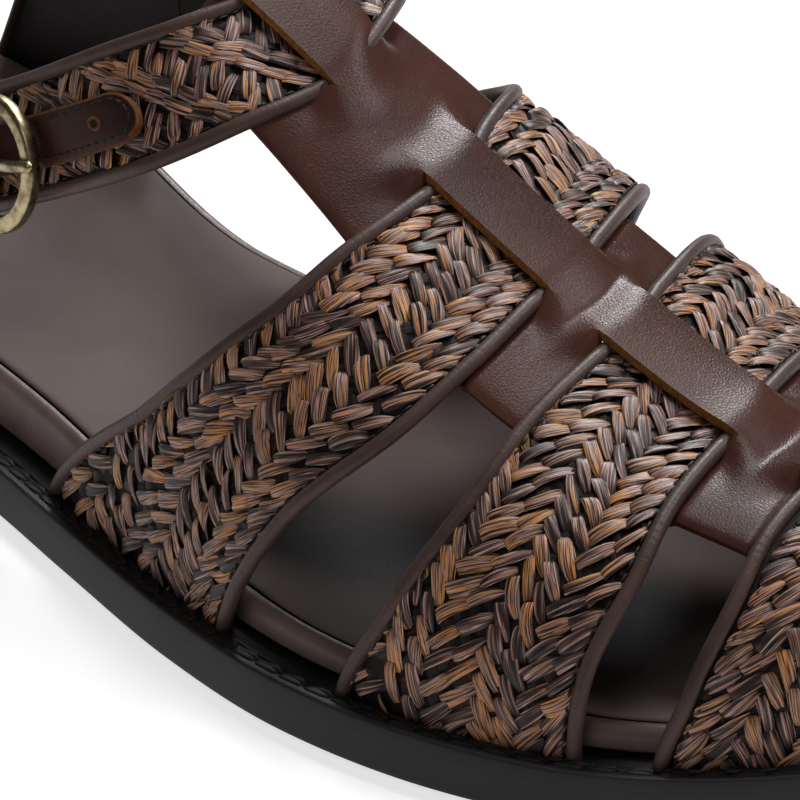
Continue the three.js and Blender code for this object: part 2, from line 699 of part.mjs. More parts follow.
// Named pieces with their finishes
const PIECES = [
  { name: "outsole", make: outsole, color: "#262625", roughness: 0.7, metalness: 0 },
  { name: "heel_block", make: heelBlock, color: "#232322", roughness: 0.7, metalness: 0 },
  { name: "welt", make: welt, color: "#1f1d1c", roughness: 0.55, metalness: 0 },
  { name: "footbed", make: footbed, color: "#5b5150", roughness: 0.6, metalness: 0 },
  { name: "upper", make: upper, color: "#6b4c3a", roughness: 0.65, metalness: 0 },
  { name: "buckle_billet", make: billet, color: "#3c2820", roughness: 0.5, metalness: 0 },
  { name: "buckle_tab", make: tab, color: "#3c2820", roughness: 0.5, metalness: 0 },
];
const HARDWARE = { color: "#a3935a", roughness: 0.35, metalness: 1 };

const shoe = new THREE.Group();
for (const { name, make, ...finish } of PIECES) {
  const mesh = new THREE.Mesh(geometryOf(make()), new THREE.MeshStandardMaterial(finish));
  mesh.name = name;
  shoe.add(mesh);
}

const buckle = new THREE.Group();
buckle.applyMatrix4(ringFrame());
const buckleRing = new THREE.Mesh(ring(), new THREE.MeshStandardMaterial(HARDWARE));
buckleRing.name = "buckle_ring";
const buckleProng = new THREE.Mesh(
  geometryOf(cord(prongLine(), PRONG.radius, PRONG.sides, PRONG.steps)),
  new THREE.MeshStandardMaterial(HARDWARE),
);
buckleProng.name = "buckle_prong";
buckle.add(buckleRing, buckleProng);
shoe.add(buckle);

// The part's own frame has its origin under the middle of the shoe, on the floor
const box = new THREE.Box3().setFromObject(shoe);
const middle = box.getCenter(new THREE.Vector3());
shoe.position.set(-middle.x, -middle.y, -box.min.z);

export default shoe;
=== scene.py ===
"""Fisherman sandal, right shoe: plait, leather, stitching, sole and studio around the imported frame."""
import logging
import math
from dataclasses import dataclass, field
from enum import Enum

import bpy
import numpy as np
from mathutils import Matrix, Vector


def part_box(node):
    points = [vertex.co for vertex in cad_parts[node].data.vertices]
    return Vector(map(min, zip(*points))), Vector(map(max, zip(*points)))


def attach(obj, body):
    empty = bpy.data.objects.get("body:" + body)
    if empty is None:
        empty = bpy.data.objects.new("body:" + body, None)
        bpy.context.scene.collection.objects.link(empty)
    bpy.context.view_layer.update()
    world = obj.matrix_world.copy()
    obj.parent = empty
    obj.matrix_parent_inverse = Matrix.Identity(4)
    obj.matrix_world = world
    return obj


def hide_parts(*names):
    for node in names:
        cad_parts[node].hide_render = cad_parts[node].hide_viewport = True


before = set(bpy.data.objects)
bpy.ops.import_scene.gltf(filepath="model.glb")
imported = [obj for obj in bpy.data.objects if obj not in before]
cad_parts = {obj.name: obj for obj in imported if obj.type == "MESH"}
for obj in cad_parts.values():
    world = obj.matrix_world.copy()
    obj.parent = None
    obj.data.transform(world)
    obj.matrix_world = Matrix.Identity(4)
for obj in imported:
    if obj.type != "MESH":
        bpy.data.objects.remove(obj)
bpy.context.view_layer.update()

Array = np.ndarray
LOG = logging.getLogger("sandal")
MM = 0.001
BODY = "root"


class Side(Enum):
    """Side of the foot that a piece lies on."""

    LATERAL = "lateral"
    MEDIAL = "medial"


class Slant(Enum):
    """Way the straws of one column of the plait lie."""

    STEEP = "steep"
    FLAT = "flat"


class Base(Enum):
    """What a height of the sole is counted from."""

    FLOOR = "floor"
    SOLE = "sole"
    SOCK = "sock"


class Table:
    """Short table of named columns, read on a smooth curve through its rows."""

    def __init__(self, columns: str, *rows: tuple[float, ...]) -> None:
        """Keeps rows of numbers by the names of their columns."""
        self.columns = {name: np.array(values, float) for name, values in zip(columns.split(), zip(*rows))}

    def read(self, key: str, at: str, where: Array) -> Array:
        """Reads one column at places between the rows.

        Args:
            key: Column that is read.
            at: Column that the places are given in, rising from row to row.
            where: Places.

        Returns:
            Values of the column at the places.
        """
        place, value = self.columns[at], self.columns[key]
        last = len(place) - 1
        rows = np.arange(last + 1)
        before, after = np.maximum(rows - 1, 0), np.minimum(rows + 1, last)
        slope = (value[after] - value[before]) / (place[after] - place[before])
        k = np.clip(np.searchsorted(place, where, side="right") - 1, 0, last - 1)
        step = place[k + 1] - place[k]
        u = np.clip((where - place[k]) / step, 0, 1)
        rise = value[k + 1] - value[k]
        start, end = slope[k] * step - rise, slope[k + 1] * step - rise
        return value[k] + u * rise + u * (1 - u) * ((1 - u) * start - u * end)


# Edge of the sole seen from above, from the back of the heel to the tip of the toe, in millimetres
OUTLINE = Table(
    "x lateral medial",
    (0, 0, 0),
    (3, -14, 14),
    (12, -26, 26),
    (35, -36, 35.5),
    (70, -37, 33),
    (100, -39, 29.3),
    (125, -42.5, 29.3),
    (150, -47.5, 33.8),
    (180, -53, 43),
    (206, -54.5, 49.5),
    (232, -50, 49),
    (255, -39.5, 42.5),
    (274.5, -23, 31),
    (286.5, -5, 18.5),
    (290, 9, 9),
)

# Height of the top line of the last over the floor
RIDGE = Table("x z", (110, 96.3), (150, 83.5), (195, 59.5), (232, 43.2), (258, 38.6), (290, 36))

# Edges of the plaited straps along the shoe, at shares of the way round the last from lateral to medial
STRAP_EDGES = Table(
    "share rear2 front2 rear3 front3 rear4",
    (0, 139.5, 189.7, 213.8, 250.3, 258.8),
    (0.1, 166.5, 199.2, 220.4, 250.4, 261),
    (0.25, 183.8, 210.5, 224.2, 250.6, 261.2),
    (0.38, 188.2, 212.2, 222, 246.2, 257.6),
    (0.5, 187, 208.1, 217.9, 240.4, 252.8),
    (0.56, 181.2, 202.9, 212, 234.4, 249.4),
    (0.75, 164, 188, 198.6, 223, 239),
    (0.9, 137, 175, 191, 217, 233),
    (1, 122, 167, 187, 214, 230),
)

# Height of the footbed's top over the sole's underside
FOOTBED_TOP = Table("x z", (0, 17), (130, 16.9), (190, 13.4), (215, 12.8), (290, 12.8))

# Upper and lower edge of the ankle strap, from the lateral leg over the bar to the medial leg
ANKLE_TOP = [
    (86, -31.8, 50), (102, -32.6, 55), (120.5, -34, 63.6), (141, -31, 75.5), (149.8, -25, 80.5),
    (152.5, -15, 82.6), (147, 2, 84), (133, 14.5, 79), (110, 20.5, 63.5), (86, 24.9, 50),
]
ANKLE_LOW = [
    (92, -33.4, 32.5), (110, -35.2, 39), (131.5, -37, 49.6), (156.5, -35, 63.1), (167, -27, 70.5),
    (169.5, -13, 73.8), (163, 4, 78.4), (146.5, 18.2, 72.5), (119, 22.5, 48), (92, 25.1, 32.5),
]

# Upper and lower edge of the heel strap, from the lateral leg round the heel to the medial leg
HEEL_TOP = [
    (90, -32.1, 51), (45, -30.2, 54), (17, -20.5, 60), (7.5, 0, 62.5), (17, 20.5, 60), (45, 29.2, 54),
    (90, 24.9, 51),
]
HEEL_LOW = [
    (90, -33.2, 33), (44, -31.2, 38), (14.5, -21.8, 43.5), (5, 0, 45), (14.5, 21.8, 43.5), (44, 30.2, 38),
    (90, 25.4, 33),
]


def smooth(value: Array) -> Array:
    """Eases a value from 0 to 1 with level ends."""
    clipped = np.clip(value, 0, 1)
    return clipped * clipped * (3 - 2 * clipped)


def unit(vectors: Array) -> Array:
    """Scales vectors to length one."""
    return vectors / np.maximum(np.linalg.norm(vectors, axis=-1, keepdims=True), 1e-9)


def mix(a: Array, b: Array, share: Array) -> Array:
    """Goes from a to b by a share."""
    return a + (b - a) * share


def together(*values: Array | float) -> tuple[Array, ...]:
    """Numbers and arrays brought to one shape."""
    return np.broadcast_arrays(*(np.asarray(value, float) for value in values))


def even_grid(rows: int, columns: int) -> tuple[Array, ...]:
    """Even shares from 0 to 1 along and across a grid."""
    return np.meshgrid(np.linspace(0, 1, rows), np.linspace(0, 1, columns), indexing="ij")


def run_of(line: Array) -> Array:
    """Distance along a line of each of its points."""
    return np.concatenate([[0], np.cumsum(np.linalg.norm(np.diff(line, axis=0), axis=-1))])


def along_line(at: Array, run: Array, line: Array) -> Array:
    """Points of a line at values of a run that rises from point to point."""
    return np.stack([np.interp(at, run, line[:, i]) for i in range(3)], axis=-1)


def spaced(line: Array, pitch: float) -> tuple[Array, Array]:
    """Spreads points along a line at an even pitch.

    Args:
        line: Points of the line.
        pitch: Distance between two points.

    Returns:
        Points, and the line's direction at each.
    """
    run = run_of(line)
    count = max(2, round(run[-1] / pitch))
    at = (np.arange(count) + 0.5) * run[-1] / count
    near = 0.2
    ahead, behind = along_line(at + near, run, line), along_line(at - near, run, line)
    return along_line(at, run, line), unit(ahead - behind)


class Spline:
    """Centripetal curve through points, open or closed."""

    def __init__(self, points: list, closed: bool = False) -> None:
        """Keeps the points and the ghost points past the ends.

        Args:
            points: Points that the curve passes.
            closed: Whether the last point leads back to the first.
        """
        p = np.array(points, float)
        self.spans = len(p) if closed else len(p) - 1
        if closed:
            self.points = np.vstack([p[-1:], p, p[:2]])
        else:
            self.points = np.vstack([2 * p[0] - p[1], p, 2 * p[-1] - p[-2]])

    def at(self, share: Array) -> Array:
        """Points of the curve.

        Args:
            share: Shares of the way from the first point to the last, every span counted alike.

        Returns:
            One point for each share.
        """
        place = np.asarray(share, float) * self.spans
        k = np.clip(np.floor(place).astype(int), 0, self.spans - 1)
        w = (place - k)[..., None]
        a, b, c, d = (self.points[k + i] for i in range(4))
        gaps = [np.maximum(np.sum((q - p) ** 2, axis=-1, keepdims=True) ** 0.25, 1e-4)
                for p, q in ((a, b), (b, c), (c, d))]
        start = ((b - a) / gaps[0] - (c - a) / (gaps[0] + gaps[1]) + (c - b) / gaps[1]) * gaps[1]
        end = ((c - b) / gaps[1] - (d - b) / (gaps[1] + gaps[2]) + (d - c) / gaps[2]) * gaps[1]
        square, cube = 3 * (c - b) - 2 * start - end, 2 * (b - c) + start + end
        return b + w * (start + w * (square + w * cube))


@dataclass
class Last:
    """Form of the foot and of the sole's edge, in millimetres from the back of the heel.

    Shares round the last run from 0 at the lateral feather edge over 0.5 at the ridge to 1 at the medial one.
    """

    outsole_thick: float = 5.7
    welt_thick: float = 1.8
    gap: float = 0.3
    heel_lift: float = 6.0
    heel_rise: tuple[float, float] = (112.0, 66.0)
    toe_spring_from: float = 245.0
    toe_spring: float = 5.0
    wall: float = 2.0
    foot_inset: float = 4.2
    fullness_lateral: float = 2.35
    fullness_medial: float = 2.65
    ridge_x: float = 195.0
    ridge_y: float = -8.2
    ridge_turn: float = 0.177
    cap_fullness: float = 2.6
    cap_length: float = 50.0
    fine_rows: int = 20
    rows: int = field(init=False)
    length: float = field(init=False)
    edge: Spline = field(init=False)
    feather: dict = field(init=False)
    cap_start: dict = field(init=False)

    def __post_init__(self) -> None:
        """Works out the sole's edge and the feather edges."""
        x, lateral, medial = (OUTLINE.columns[key] for key in ("x", "lateral", "medial"))
        self.rows = len(x) - 1
        self.length = x[-1]
        out = [(a, b, 0) for a, b in zip(x, lateral)]
        back = [(a, b, 0) for a, b in zip(x[-2:0:-1], medial[-2:0:-1])]
        self.edge = Spline(out + back, closed=True)
        row = np.arange(self.rows * self.fine_rows + 1) / self.fine_rows
        self.feather = {side: (row, self.edge_point(side, row, self.foot_inset),
                               self.edge_point(side, row, self.foot_inset + self.wall)) for side in Side}
        self.cap_start = {side: self.feather_row(side, self.cap_rear(np.array(share)))
                          for side, share in ((Side.LATERAL, 0.0), (Side.MEDIAL, 1.0))}

    @property
    def feather_z(self) -> float:
        """Height of the welt's top over the outsole's underside, where the upper starts."""
        return self.outsole_thick + self.gap + self.welt_thick

    def lift(self, x: Array) -> Array:
        """Lift of the sole over the floor.

        Args:
            x: Places along the shoe.

        Returns:
            Height from the low heel behind the arch and the toe spring in front.
        """
        start, full = self.heel_rise
        heel = self.heel_lift * smooth((start - x) / (start - full))
        toe = np.clip((x - self.toe_spring_from) / (self.length - self.toe_spring_from), 0, 1)
        return heel + self.toe_spring * toe ** 2

    def floor(self, x: Array) -> Array:
        """Height of the feather edge over the floor at places along the shoe."""
        return self.feather_z + self.lift(x)

    def round_edge(self, place: Array, inset: Array) -> Array:
        """Points of the sole's edge moved inwards.

        Args:
            place: Shares of the way round the outline from the heel by the lateral side.
            inset: Distance inwards.

        Returns:
            Points at height 0.
        """
        step = 1e-3
        way = unit(self.edge.at((place + step) % 1) - self.edge.at((place - step) % 1))
        inwards = np.stack([-way[..., 1], way[..., 0], np.zeros_like(way[..., 0])], axis=-1)
        return self.edge.at(place % 1) + inwards * np.asarray(inset, float)[..., None]

    def edge_point(self, side: Side, row: Array, inset: Array) -> Array:
        """Points of one side of the sole's edge by the row of the outline, moved inwards by an inset."""
        turn = 2 * self.rows
        return self.round_edge((row if side is Side.LATERAL else turn - row) / turn, inset)

    def feather_row(self, side: Side, x: Array) -> Array:
        """Row of the outline where the feather edge of one side has these places along the shoe."""
        row, outside, _ = self.feather[side]
        return np.interp(x, np.maximum.accumulate(outside[:, 0]), row)

    def foot(self, side: Side, x: Array, depth: Array) -> Array:
        """Feather points of one side, a depth inside the wall.

        Args:
            side: Side of the foot.
            x: Places along the shoe.
            depth: Depth from the outer face.

        Returns:
            Points at height 0.
        """
        row, outside, inside = self.feather[side]
        at = self.feather_row(side, x)
        near, far = (along_line(at, row, line) for line in (outside, inside))
        return mix(near, far, np.asarray(depth / self.wall)[..., None])

    def either_foot(self, lateral: Array, x: Array, depth: Array) -> Array:
        """Feather points of the lateral side where asked, of the medial one elsewhere."""
        outer, inner = (self.foot(side, x, depth) for side in Side)
        return np.where(lateral[..., None], outer, inner)

    def ridge(self, x: Array, depth: Array) -> Array:
        """Highest points of the sections of the last, a depth inside the wall."""
        y = self.ridge_y + self.ridge_turn * (x - self.ridge_x)
        return np.stack([x, y, RIDGE.read("z", "x", x) - depth], axis=-1)

    def section(self, crown: Array, low: Array, floor: Array, turn: Array, power: Array) -> Array:
        """Points of a rounded section between its crown and its foot.

        Args:
            crown: Highest points.
            low: Feather points.
            floor: Heights of the feather edge.
            turn: Angles from the foot (0) to the crown (a quarter turn).
            power: Exponents of the section's fullness.

        Returns:
            Points of the sections.
        """
        out, up = np.abs(np.cos(turn)) ** power, np.abs(np.sin(turn)) ** power
        points = mix(crown, low, out[..., None])
        points[..., 2] = floor + (crown[..., 2] - floor) * up
        return points

    def point(self, x: Array, share: Array, depth: Array) -> Array:
        """Points of the last.

        Args:
            x: Places along the shoe.
            share: Shares of the way round.
            depth: Depths inside the outer face.

        Returns:
            Points.
        """
        x, share, depth = together(x, share, depth)
        lateral = share < 0.5
        low = self.either_foot(lateral, x, depth)
        power = 2 / np.where(lateral, self.fullness_lateral, self.fullness_medial)
        return self.section(self.ridge(x, depth), low, self.floor(x), np.pi * share, power)

    def beside_ridge(self, x: Array, width: Array, depth: Array) -> tuple[Array, Array]:
        """Points beside the ridge by a width.

        Args:
            x: Places along the shoe.
            width: Distances from the ridge, lateral below 0.
            depth: Depths inside the outer face.

        Returns:
            Points, and their shares round the last.
        """
        x, width, depth = together(x, width, depth)
        lateral = width < 0
        nothing = np.zeros_like(x)
        low = self.either_foot(lateral, x, nothing)
        reach = np.linalg.norm((low - self.ridge(x, nothing))[..., :2], axis=-1)
        fullness = np.where(lateral, self.fullness_lateral, self.fullness_medial)
        turn = np.arccos(np.clip(np.abs(width) / reach, 0, 1) ** (fullness / 2)) / np.pi
        share = np.where(lateral, turn, 1 - turn)
        return self.point(x, share, depth), share

    def cap_rear(self, share: Array) -> Array:
        """Rear edge of the toe cap along the shoe at shares round the last."""
        return STRAP_EDGES.read("rear4", "share", share)

    def cap_ray(self, side: Side, turn: Array, rise: Array, depth: Array) -> Array:
        """Points of the rays that fan out from the crown of the toe cap to the feather edge.

        Args:
            side: Side of the foot.
            turn: Shares of the way along the feather edge from the cap's rear edge to the tip.
            rise: Shares of the way up from the feather edge to the crown.
            depth: Depths inside the outer face.

        Returns:
            Points.
        """
        turn, rise, depth = together(turn, rise, depth)
        fullness = self.fullness_lateral if side is Side.LATERAL else self.fullness_medial
        middle = np.full_like(turn, 0.5)
        crown = self.point(self.cap_rear(middle), middle, depth)
        low = self.edge_point(side, mix(self.cap_start[side], self.rows, turn), self.foot_inset + depth)
        power = 2 / mix(fullness, self.cap_fullness, turn)
        return self.section(crown, low, self.floor(low[..., 0]), rise * np.pi / 2, power)

    def cap_point(self, forward: Array, share: Array, depth: Array) -> Array:
        """Points of the toe cap, which starts on the last at its rear edge.

        Args:
            forward: Shares of the way forward to the tip.
            share: Shares of the way round the last.
            depth: Depths inside the outer face.

        Returns:
            Points.
        """
        forward, share, depth = together(forward, share, depth)
        out = forward + (1 - forward) * np.abs(1 - 2 * share)
        turn = np.where(out > 0, forward / np.maximum(out, 1e-9), 1)
        rise = 1 - out
        lateral = share < 0.5
        edge_share = np.where(lateral, rise / 2, 1 - rise / 2)
        edge = self.point(self.cap_rear(edge_share), edge_share, depth)
        made = []
        for side in Side:
            off = edge - self.cap_ray(side, np.zeros_like(turn), rise, depth)
            made.append(self.cap_ray(side, turn, rise, depth) + off * ((1 - turn) ** 2)[..., None])
        return np.where(lateral[..., None], made[0], made[1])

    def beside_cap_ridge(self, rise: Array, width: Array, depth: Array) -> Array:
        """Points of the toe cap beside the line from its crown to the tip.

        Args:
            rise: Shares of the way up from the tip to the crown.
            width: Distances from the line, lateral below 0.
            depth: Depths inside the outer face.

        Returns:
            Points.
        """
        rise, width, depth = together(rise, width, depth)
        one = np.ones_like(rise)
        run = self.cap_ray(Side.LATERAL, one, 0 * one, depth) - self.cap_ray(Side.LATERAL, one, one, depth)
        across = unit(np.stack([-run[..., 1], run[..., 0], 0 * one], axis=-1))
        level = self.cap_ray(Side.LATERAL, one, rise, depth) + across * width[..., None]
        turn = 1 - np.abs(width) / self.cap_length
        spread = np.where((width < 0)[..., None], self.cap_ray(Side.LATERAL, turn, rise, depth),
                          self.cap_ray(Side.MEDIAL, turn, rise, depth))
        return mix(level, spread, np.cos(rise * np.pi / 2)[..., None] ** (2 / self.cap_fullness))


LAST = Last()


class Sheet:
    """Curved sheet sampled on a grid, with u along it and v across it, both from 0 to 1."""

    def __init__(self, points: Array, outward: int = 1) -> None:
        """Works out slopes, normals and lengths of the grid.

        Args:
            points: Grid of points, u by v.
            outward: 1 where u turned to v shows outwards, -1 where it shows inwards.
        """
        self.points = points
        self.size = points.shape[:2]
        self.along = np.gradient(points, axis=0) * (self.size[0] - 1)
        self.across = np.gradient(points, axis=1) * (self.size[1] - 1)
        self.normal = unit(np.cross(self.along, self.across)) * outward

    def sample(self, grid: Array, u: Array, v: Array) -> Array:
        """Reads a grid of values between its nodes.

        Args:
            grid: Values, u by v by number.
            u: Places along.
            v: Places across.

        Returns:
            Values at the places.
        """
        a = np.clip(u, 0, 1) * (self.size[0] - 1)
        b = np.clip(v, 0, 1) * (self.size[1] - 1)
        i = np.minimum(a.astype(int), self.size[0] - 2)
        j = np.minimum(b.astype(int), self.size[1] - 2)
        p, q = (a - i)[..., None], (b - j)[..., None]
        rear, front = mix(grid[i, j], grid[i + 1, j], p), mix(grid[i, j + 1], grid[i + 1, j + 1], p)
        return mix(rear, front, q)

    def at(self, u: Array, v: Array, height: Array = 0.0) -> Array:
        """Points over the sheet, which goes on straight past its ends.

        Args:
            u: Places along.
            v: Places across.
            height: Heights over the sheet.

        Returns:
            Points.
        """
        u, v, height = together(u, v, height)
        past = (u - np.clip(u, 0, 1))[..., None]
        level = self.sample(self.points, u, v) + self.sample(self.along, u, v) * past
        return level + unit(self.sample(self.normal, u, v)) * height[..., None]

    def square_width(self) -> Array:
        """Width of the sheet as each node of the grid shows it, counted square to the long lines."""
        square = np.cross(self.normal, unit(self.along))
        return np.abs(np.sum(square * self.across, axis=-1))

    def width(self) -> Array:
        """Width of the sheet at each u of the grid, in millimetres."""
        return np.mean(self.square_width(), axis=1)

    def reach(self) -> Array:
        """Distance of each node of the grid from the edge at v = 0, counted square to the long lines."""
        local = self.square_width() / (self.size[1] - 1)
        steps = 0.5 * (local[:, 1:] + local[:, :-1])
        return np.concatenate([np.zeros((self.size[0], 1)), np.cumsum(steps, axis=1)], axis=1)

    def lengths(self) -> Array:
        """Distance along the sheet of each node of the grid, counted square to its long lines."""
        way = unit(self.along)
        middle = self.size[1] // 2
        start = run_of(self.points[:, middle])
        shear = np.sum(way * self.across, axis=-1) / (self.size[1] - 1)
        summed = np.cumsum(shear, axis=1)
        return start[:, None] + summed - summed[:, middle:middle + 1]


class Draft:
    """Points and faces of a mesh in the making, in millimetres from the back of the heel."""

    def __init__(self) -> None:
        """Starts empty."""
        self.points: list[Array] = []
        self.faces: list[Array] = []
        self.slots: list[Array] = []
        self.straw: list[Array] = []
        self.count = 0

    def add(self, points: Array, *groups: tuple[Array, int], straw: Array | None = None) -> None:
        """Adds points and the faces between them.

        Args:
            points: Points.
            groups: Pairs of faces, counted from the first of these points, and their material's number.
            straw: Place on a straw for each point, across and along in millimetres.
        """
        flat = points.reshape(-1, 3)
        for faces, slot in groups:
            self.faces.append(faces + self.count)
            self.slots.append(np.full(len(faces), slot))
        self.points.append(flat)
        self.straw.append(np.zeros((len(flat), 2)) if straw is None else straw.reshape(-1, 2))
        self.count += len(flat)

    def make(self, name: str, finishes: list["Finish"], slot: str, *nodes: str,
             sharp_deg: float = 40.0) -> None:
        """Makes the piece in the frame's own place and ties it to the shoe's body.

        Args:
            name: Name of the piece.
            finishes: Finishes by number.
            slot: Material slot of the record; not used.
            nodes: Nodes of the frame that the piece replaces.
            sharp_deg: Edges that turn more than this stay sharp.
        """
        mesh = bpy.data.meshes.new(name)
        points = (np.vstack(self.points) + HEEL_BACK) * MM
        mesh.from_pydata(points.tolist(), [], [face for faces in self.faces for face in faces.tolist()])
        mesh.polygons.foreach_set("material_index", np.concatenate(self.slots).astype(np.int32))
        mesh.polygons.foreach_set("use_smooth", np.ones(len(mesh.polygons), bool))
        corner = np.empty(len(mesh.loops), np.int32)
        mesh.loops.foreach_get("vertex_index", corner)
        layer = mesh.uv_layers.new(name="straw")
        layer.uv.foreach_set("vector", np.vstack(self.straw)[corner].astype(np.float32).ravel())
        for finish in finishes:
            mesh.materials.append(finish.material())
        mesh.set_sharp_from_angle(angle=math.radians(sharp_deg))
        mesh.update()
        piece = bpy.data.objects.new(name, mesh)
        bpy.context.scene.collection.objects.link(piece)
        LOG.info("%s: %d faces", name, len(mesh.polygons))
        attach(piece, BODY)
        if nodes:
            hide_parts(*nodes)


def heel_back() -> Array:
    """Place of the heel's back in the frame, in millimetres, found from the outsole's own box.

    Returns:
        Offset from the last's numbers to the frame's.
    """
    low, high = (np.array(corner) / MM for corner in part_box("outsole"))
    per_row = 3
    row = np.arange(LAST.rows * per_row + 1) / per_row
    edge = np.vstack([LAST.edge_point(side, row, np.zeros_like(row)) for side in Side])
    middle = (edge[:, 1].min() + edge[:, 1].max()) / 2
    return np.array([low[0], (low[1] + high[1]) / 2 - middle, 0.0])


HEEL_BACK = heel_back()


def quads_of(numbers: Array) -> Array:
    """Quads of a grid of point numbers."""
    quads = [numbers[:-1, :-1], numbers[:-1, 1:], numbers[1:, 1:], numbers[1:, :-1]]
    return np.stack(quads, axis=-1).reshape(-1, 4)


def grid_faces(rows: int, columns: int, closed: bool = False, looped: bool = False) -> Array:
    """Quads of a grid of points.

    Args:
        rows: Rows of points.
        columns: Points in each row.
        closed: Whether each row leads back to its first point.
        looped: Whether the last row leads back to the first.

    Returns:
        Quads as numbers of points.
    """
    numbers = np.arange(rows * columns).reshape(rows, columns)
    return quads_of(np.pad(numbers, ((0, int(looped)), (0, int(closed))), mode="wrap"))


def walls_of(faces: Array, count: int) -> tuple[Array, Array]:
    """Walls from the rim of a patch of quads to a like patch behind it.

    Args:
        faces: Quads of the patch.
        count: Points of the patch, after which those of the other follow.

    Returns:
        Edges that belong to one quad only, in the quads' own direction, and a wall's quad on each.
    """
    edges = np.vstack([faces[:, [i, (i + 1) % 4]] for i in range(4)])
    names = np.sort(edges, axis=1)
    _, first, uses = np.unique(names, axis=0, return_index=True, return_counts=True)
    rim = edges[first[uses == 1]]
    return rim, np.stack([rim[:, 1], rim[:, 0], rim[:, 0] + count, rim[:, 1] + count], axis=1)


def thick(draft: Draft, outer: Array, inner: Array, faces: Array, slots: tuple[int, int, int],
          worn: Array | None = None) -> None:
    """Adds a closed wall between two like patches of points.

    Args:
        draft: Mesh in the making.
        outer: Outer points.
        inner: Inner points.
        faces: Quads of the outer patch.
        slots: Numbers of the materials outside, inside and on the rim.
        worn: Which outer quads show the rim's material.
    """
    bare = np.zeros(len(faces), bool) if worn is None else worn
    both = np.vstack([outer.reshape(-1, 3), inner.reshape(-1, 3)])
    count = len(both) // 2
    _, walls = walls_of(faces, count)
    draft.add(both, (faces[~bare], slots[0]), (faces[bare], slots[2]), (faces[:, ::-1] + count, slots[1]),
              (walls, slots[2]))


def tube(draft: Draft, centres: Array, up: Array, radius: float, sides: int = 12) -> None:
    """Adds a round cord along points, rounded off at both ends.

    Args:
        draft: Mesh in the making.
        centres: Points along the middle of the cord.
        up: Direction of each ring's top.
        radius: Radius of the cord.
        sides: Points of each ring.
    """
    way = unit(np.gradient(centres, axis=0))
    beside = unit(np.cross(way, up))
    top = np.cross(beside, way)
    # Sizes of the rings that round off an end, from the tip inwards
    closing = np.array([0.0, 0.5, 0.87])
    reach = np.sqrt(1 - closing ** 2)[:, None]
    middle = np.vstack([centres[0] - way[0] * radius * reach, centres,
                        centres[-1] + way[-1] * radius * reach[::-1]])
    at = np.pad(np.arange(len(centres)), len(closing), mode="edge")
    scale = radius * np.concatenate([closing, np.ones(len(centres)), closing[::-1]])
    angle = 2 * np.pi * np.arange(sides) / sides
    cos, sin = np.cos(angle)[None, :, None], np.sin(angle)[None, :, None]
    ring = cos * beside[at][:, None] + sin * top[at][:, None]
    points = middle[:, None] + np.maximum(scale, 1e-3)[:, None, None] * ring
    straw = np.stack(np.broadcast_arrays(angle[None, :], run_of(middle)[:, None]), axis=-1)
    draft.add(points, (grid_faces(len(middle), sides, closed=True), 0), straw=straw)


def stitches(draft: Draft, centres: Array, way: Array, up: Array, size: tuple[float, float, float],
             plies: int = 1) -> None:
    """Adds many short arched stitches at once.

    Args:
        draft: Mesh in the making.
        centres: Middle of each stitch on the surface.
        way: Direction of each stitch.
        up: Direction off the surface.
        size: Length, width and height of the arch.
        plies: Threads laid round each other in one stitch.
    """
    length, width, arch = size
    single = plies == 1
    steps, sides = (7, 6) if single else (11, 8)
    beside = np.cross(up, way)
    share = np.linspace(-1, 1, steps)
    angle = 2 * np.pi * np.arange(sides) / sides
    first = steps * sides * np.arange(len(centres))[:, None, None]
    faces = (grid_faces(steps, sides, closed=True)[None] + first).reshape(-1, 4)
    full = np.sqrt(np.clip(1.02 - share ** 4, 0.02, 1))
    radius = 0.5 * width / (1 if single else 1.75)
    flat = 1.0 if single else 0.7
    ring = (np.cos(angle)[None, None, :, None] * beside[:, None, None]
            + flat * np.sin(angle)[None, None, :, None] * up[:, None, None])
    for ply in range(plies):
        lay = 1.15 * share + 2 * np.pi * ply / plies
        aside = 0.0 * share if single else 0.75 * radius * np.cos(lay) * full
        rise = arch * (1 - share ** 2) - 0.5 * radius + (0.0 if single else 0.3 * radius * np.sin(lay))
        middle = (centres[:, None] + way[:, None] * (0.5 * length * share)[None, :, None]
                  + up[:, None] * rise[None, :, None] + beside[:, None] * aside[None, :, None])
        draft.add(middle[:, :, None] + (radius * full)[None, :, None, None] * ring, (faces, 0))


def linear(colour: str) -> tuple[float, float, float, float]:
    """Turns an sRGB hex colour to linear light.

    Args:
        colour: Hex colour such as "#5a4340".

    Returns:
        Linear red, green, blue and alpha.
    """
    parts = [int(colour[i:i + 2], 16) / 255 for i in (1, 3, 5)]
    light = [c / 12.92 if c <= 0.04045 else ((c + 0.055) / 1.055) ** 2.4 for c in parts]
    return (*light, 1.0)


def add_node(tree: bpy.types.NodeTree, kind: str, inputs: dict | None = None, stops: dict | None = None,
             **settings: object) -> bpy.types.Node:
    """Adds a node with its settings and links.

    Args:
        tree: Node tree of a material or a world.
        kind: Type of the node.
        inputs: Values or outputs of other nodes by socket.
        stops: Colours of a ramp by place.
        settings: Properties of the node.

    Returns:
        The node.
    """
    node = tree.nodes.new(kind)
    for name, value in settings.items():
        setattr(node, name, value)
    for key, value in (inputs or {}).items():
        if isinstance(value, bpy.types.NodeSocket):
            tree.links.new(value, node.inputs[key])
        else:
            node.inputs[key].default_value = value
    if stops:
        elements = node.color_ramp.elements
        while len(elements) < len(stops):
            elements.new(1.0)
        for element, (position, colour) in zip(elements, sorted(stops.items())):
            element.position = position
            element.color = linear(colour)
    return node


Socket = bpy.types.NodeSocket

# Distance between two straws in the numbers that tell them apart
STRAW_STEP = 50.0


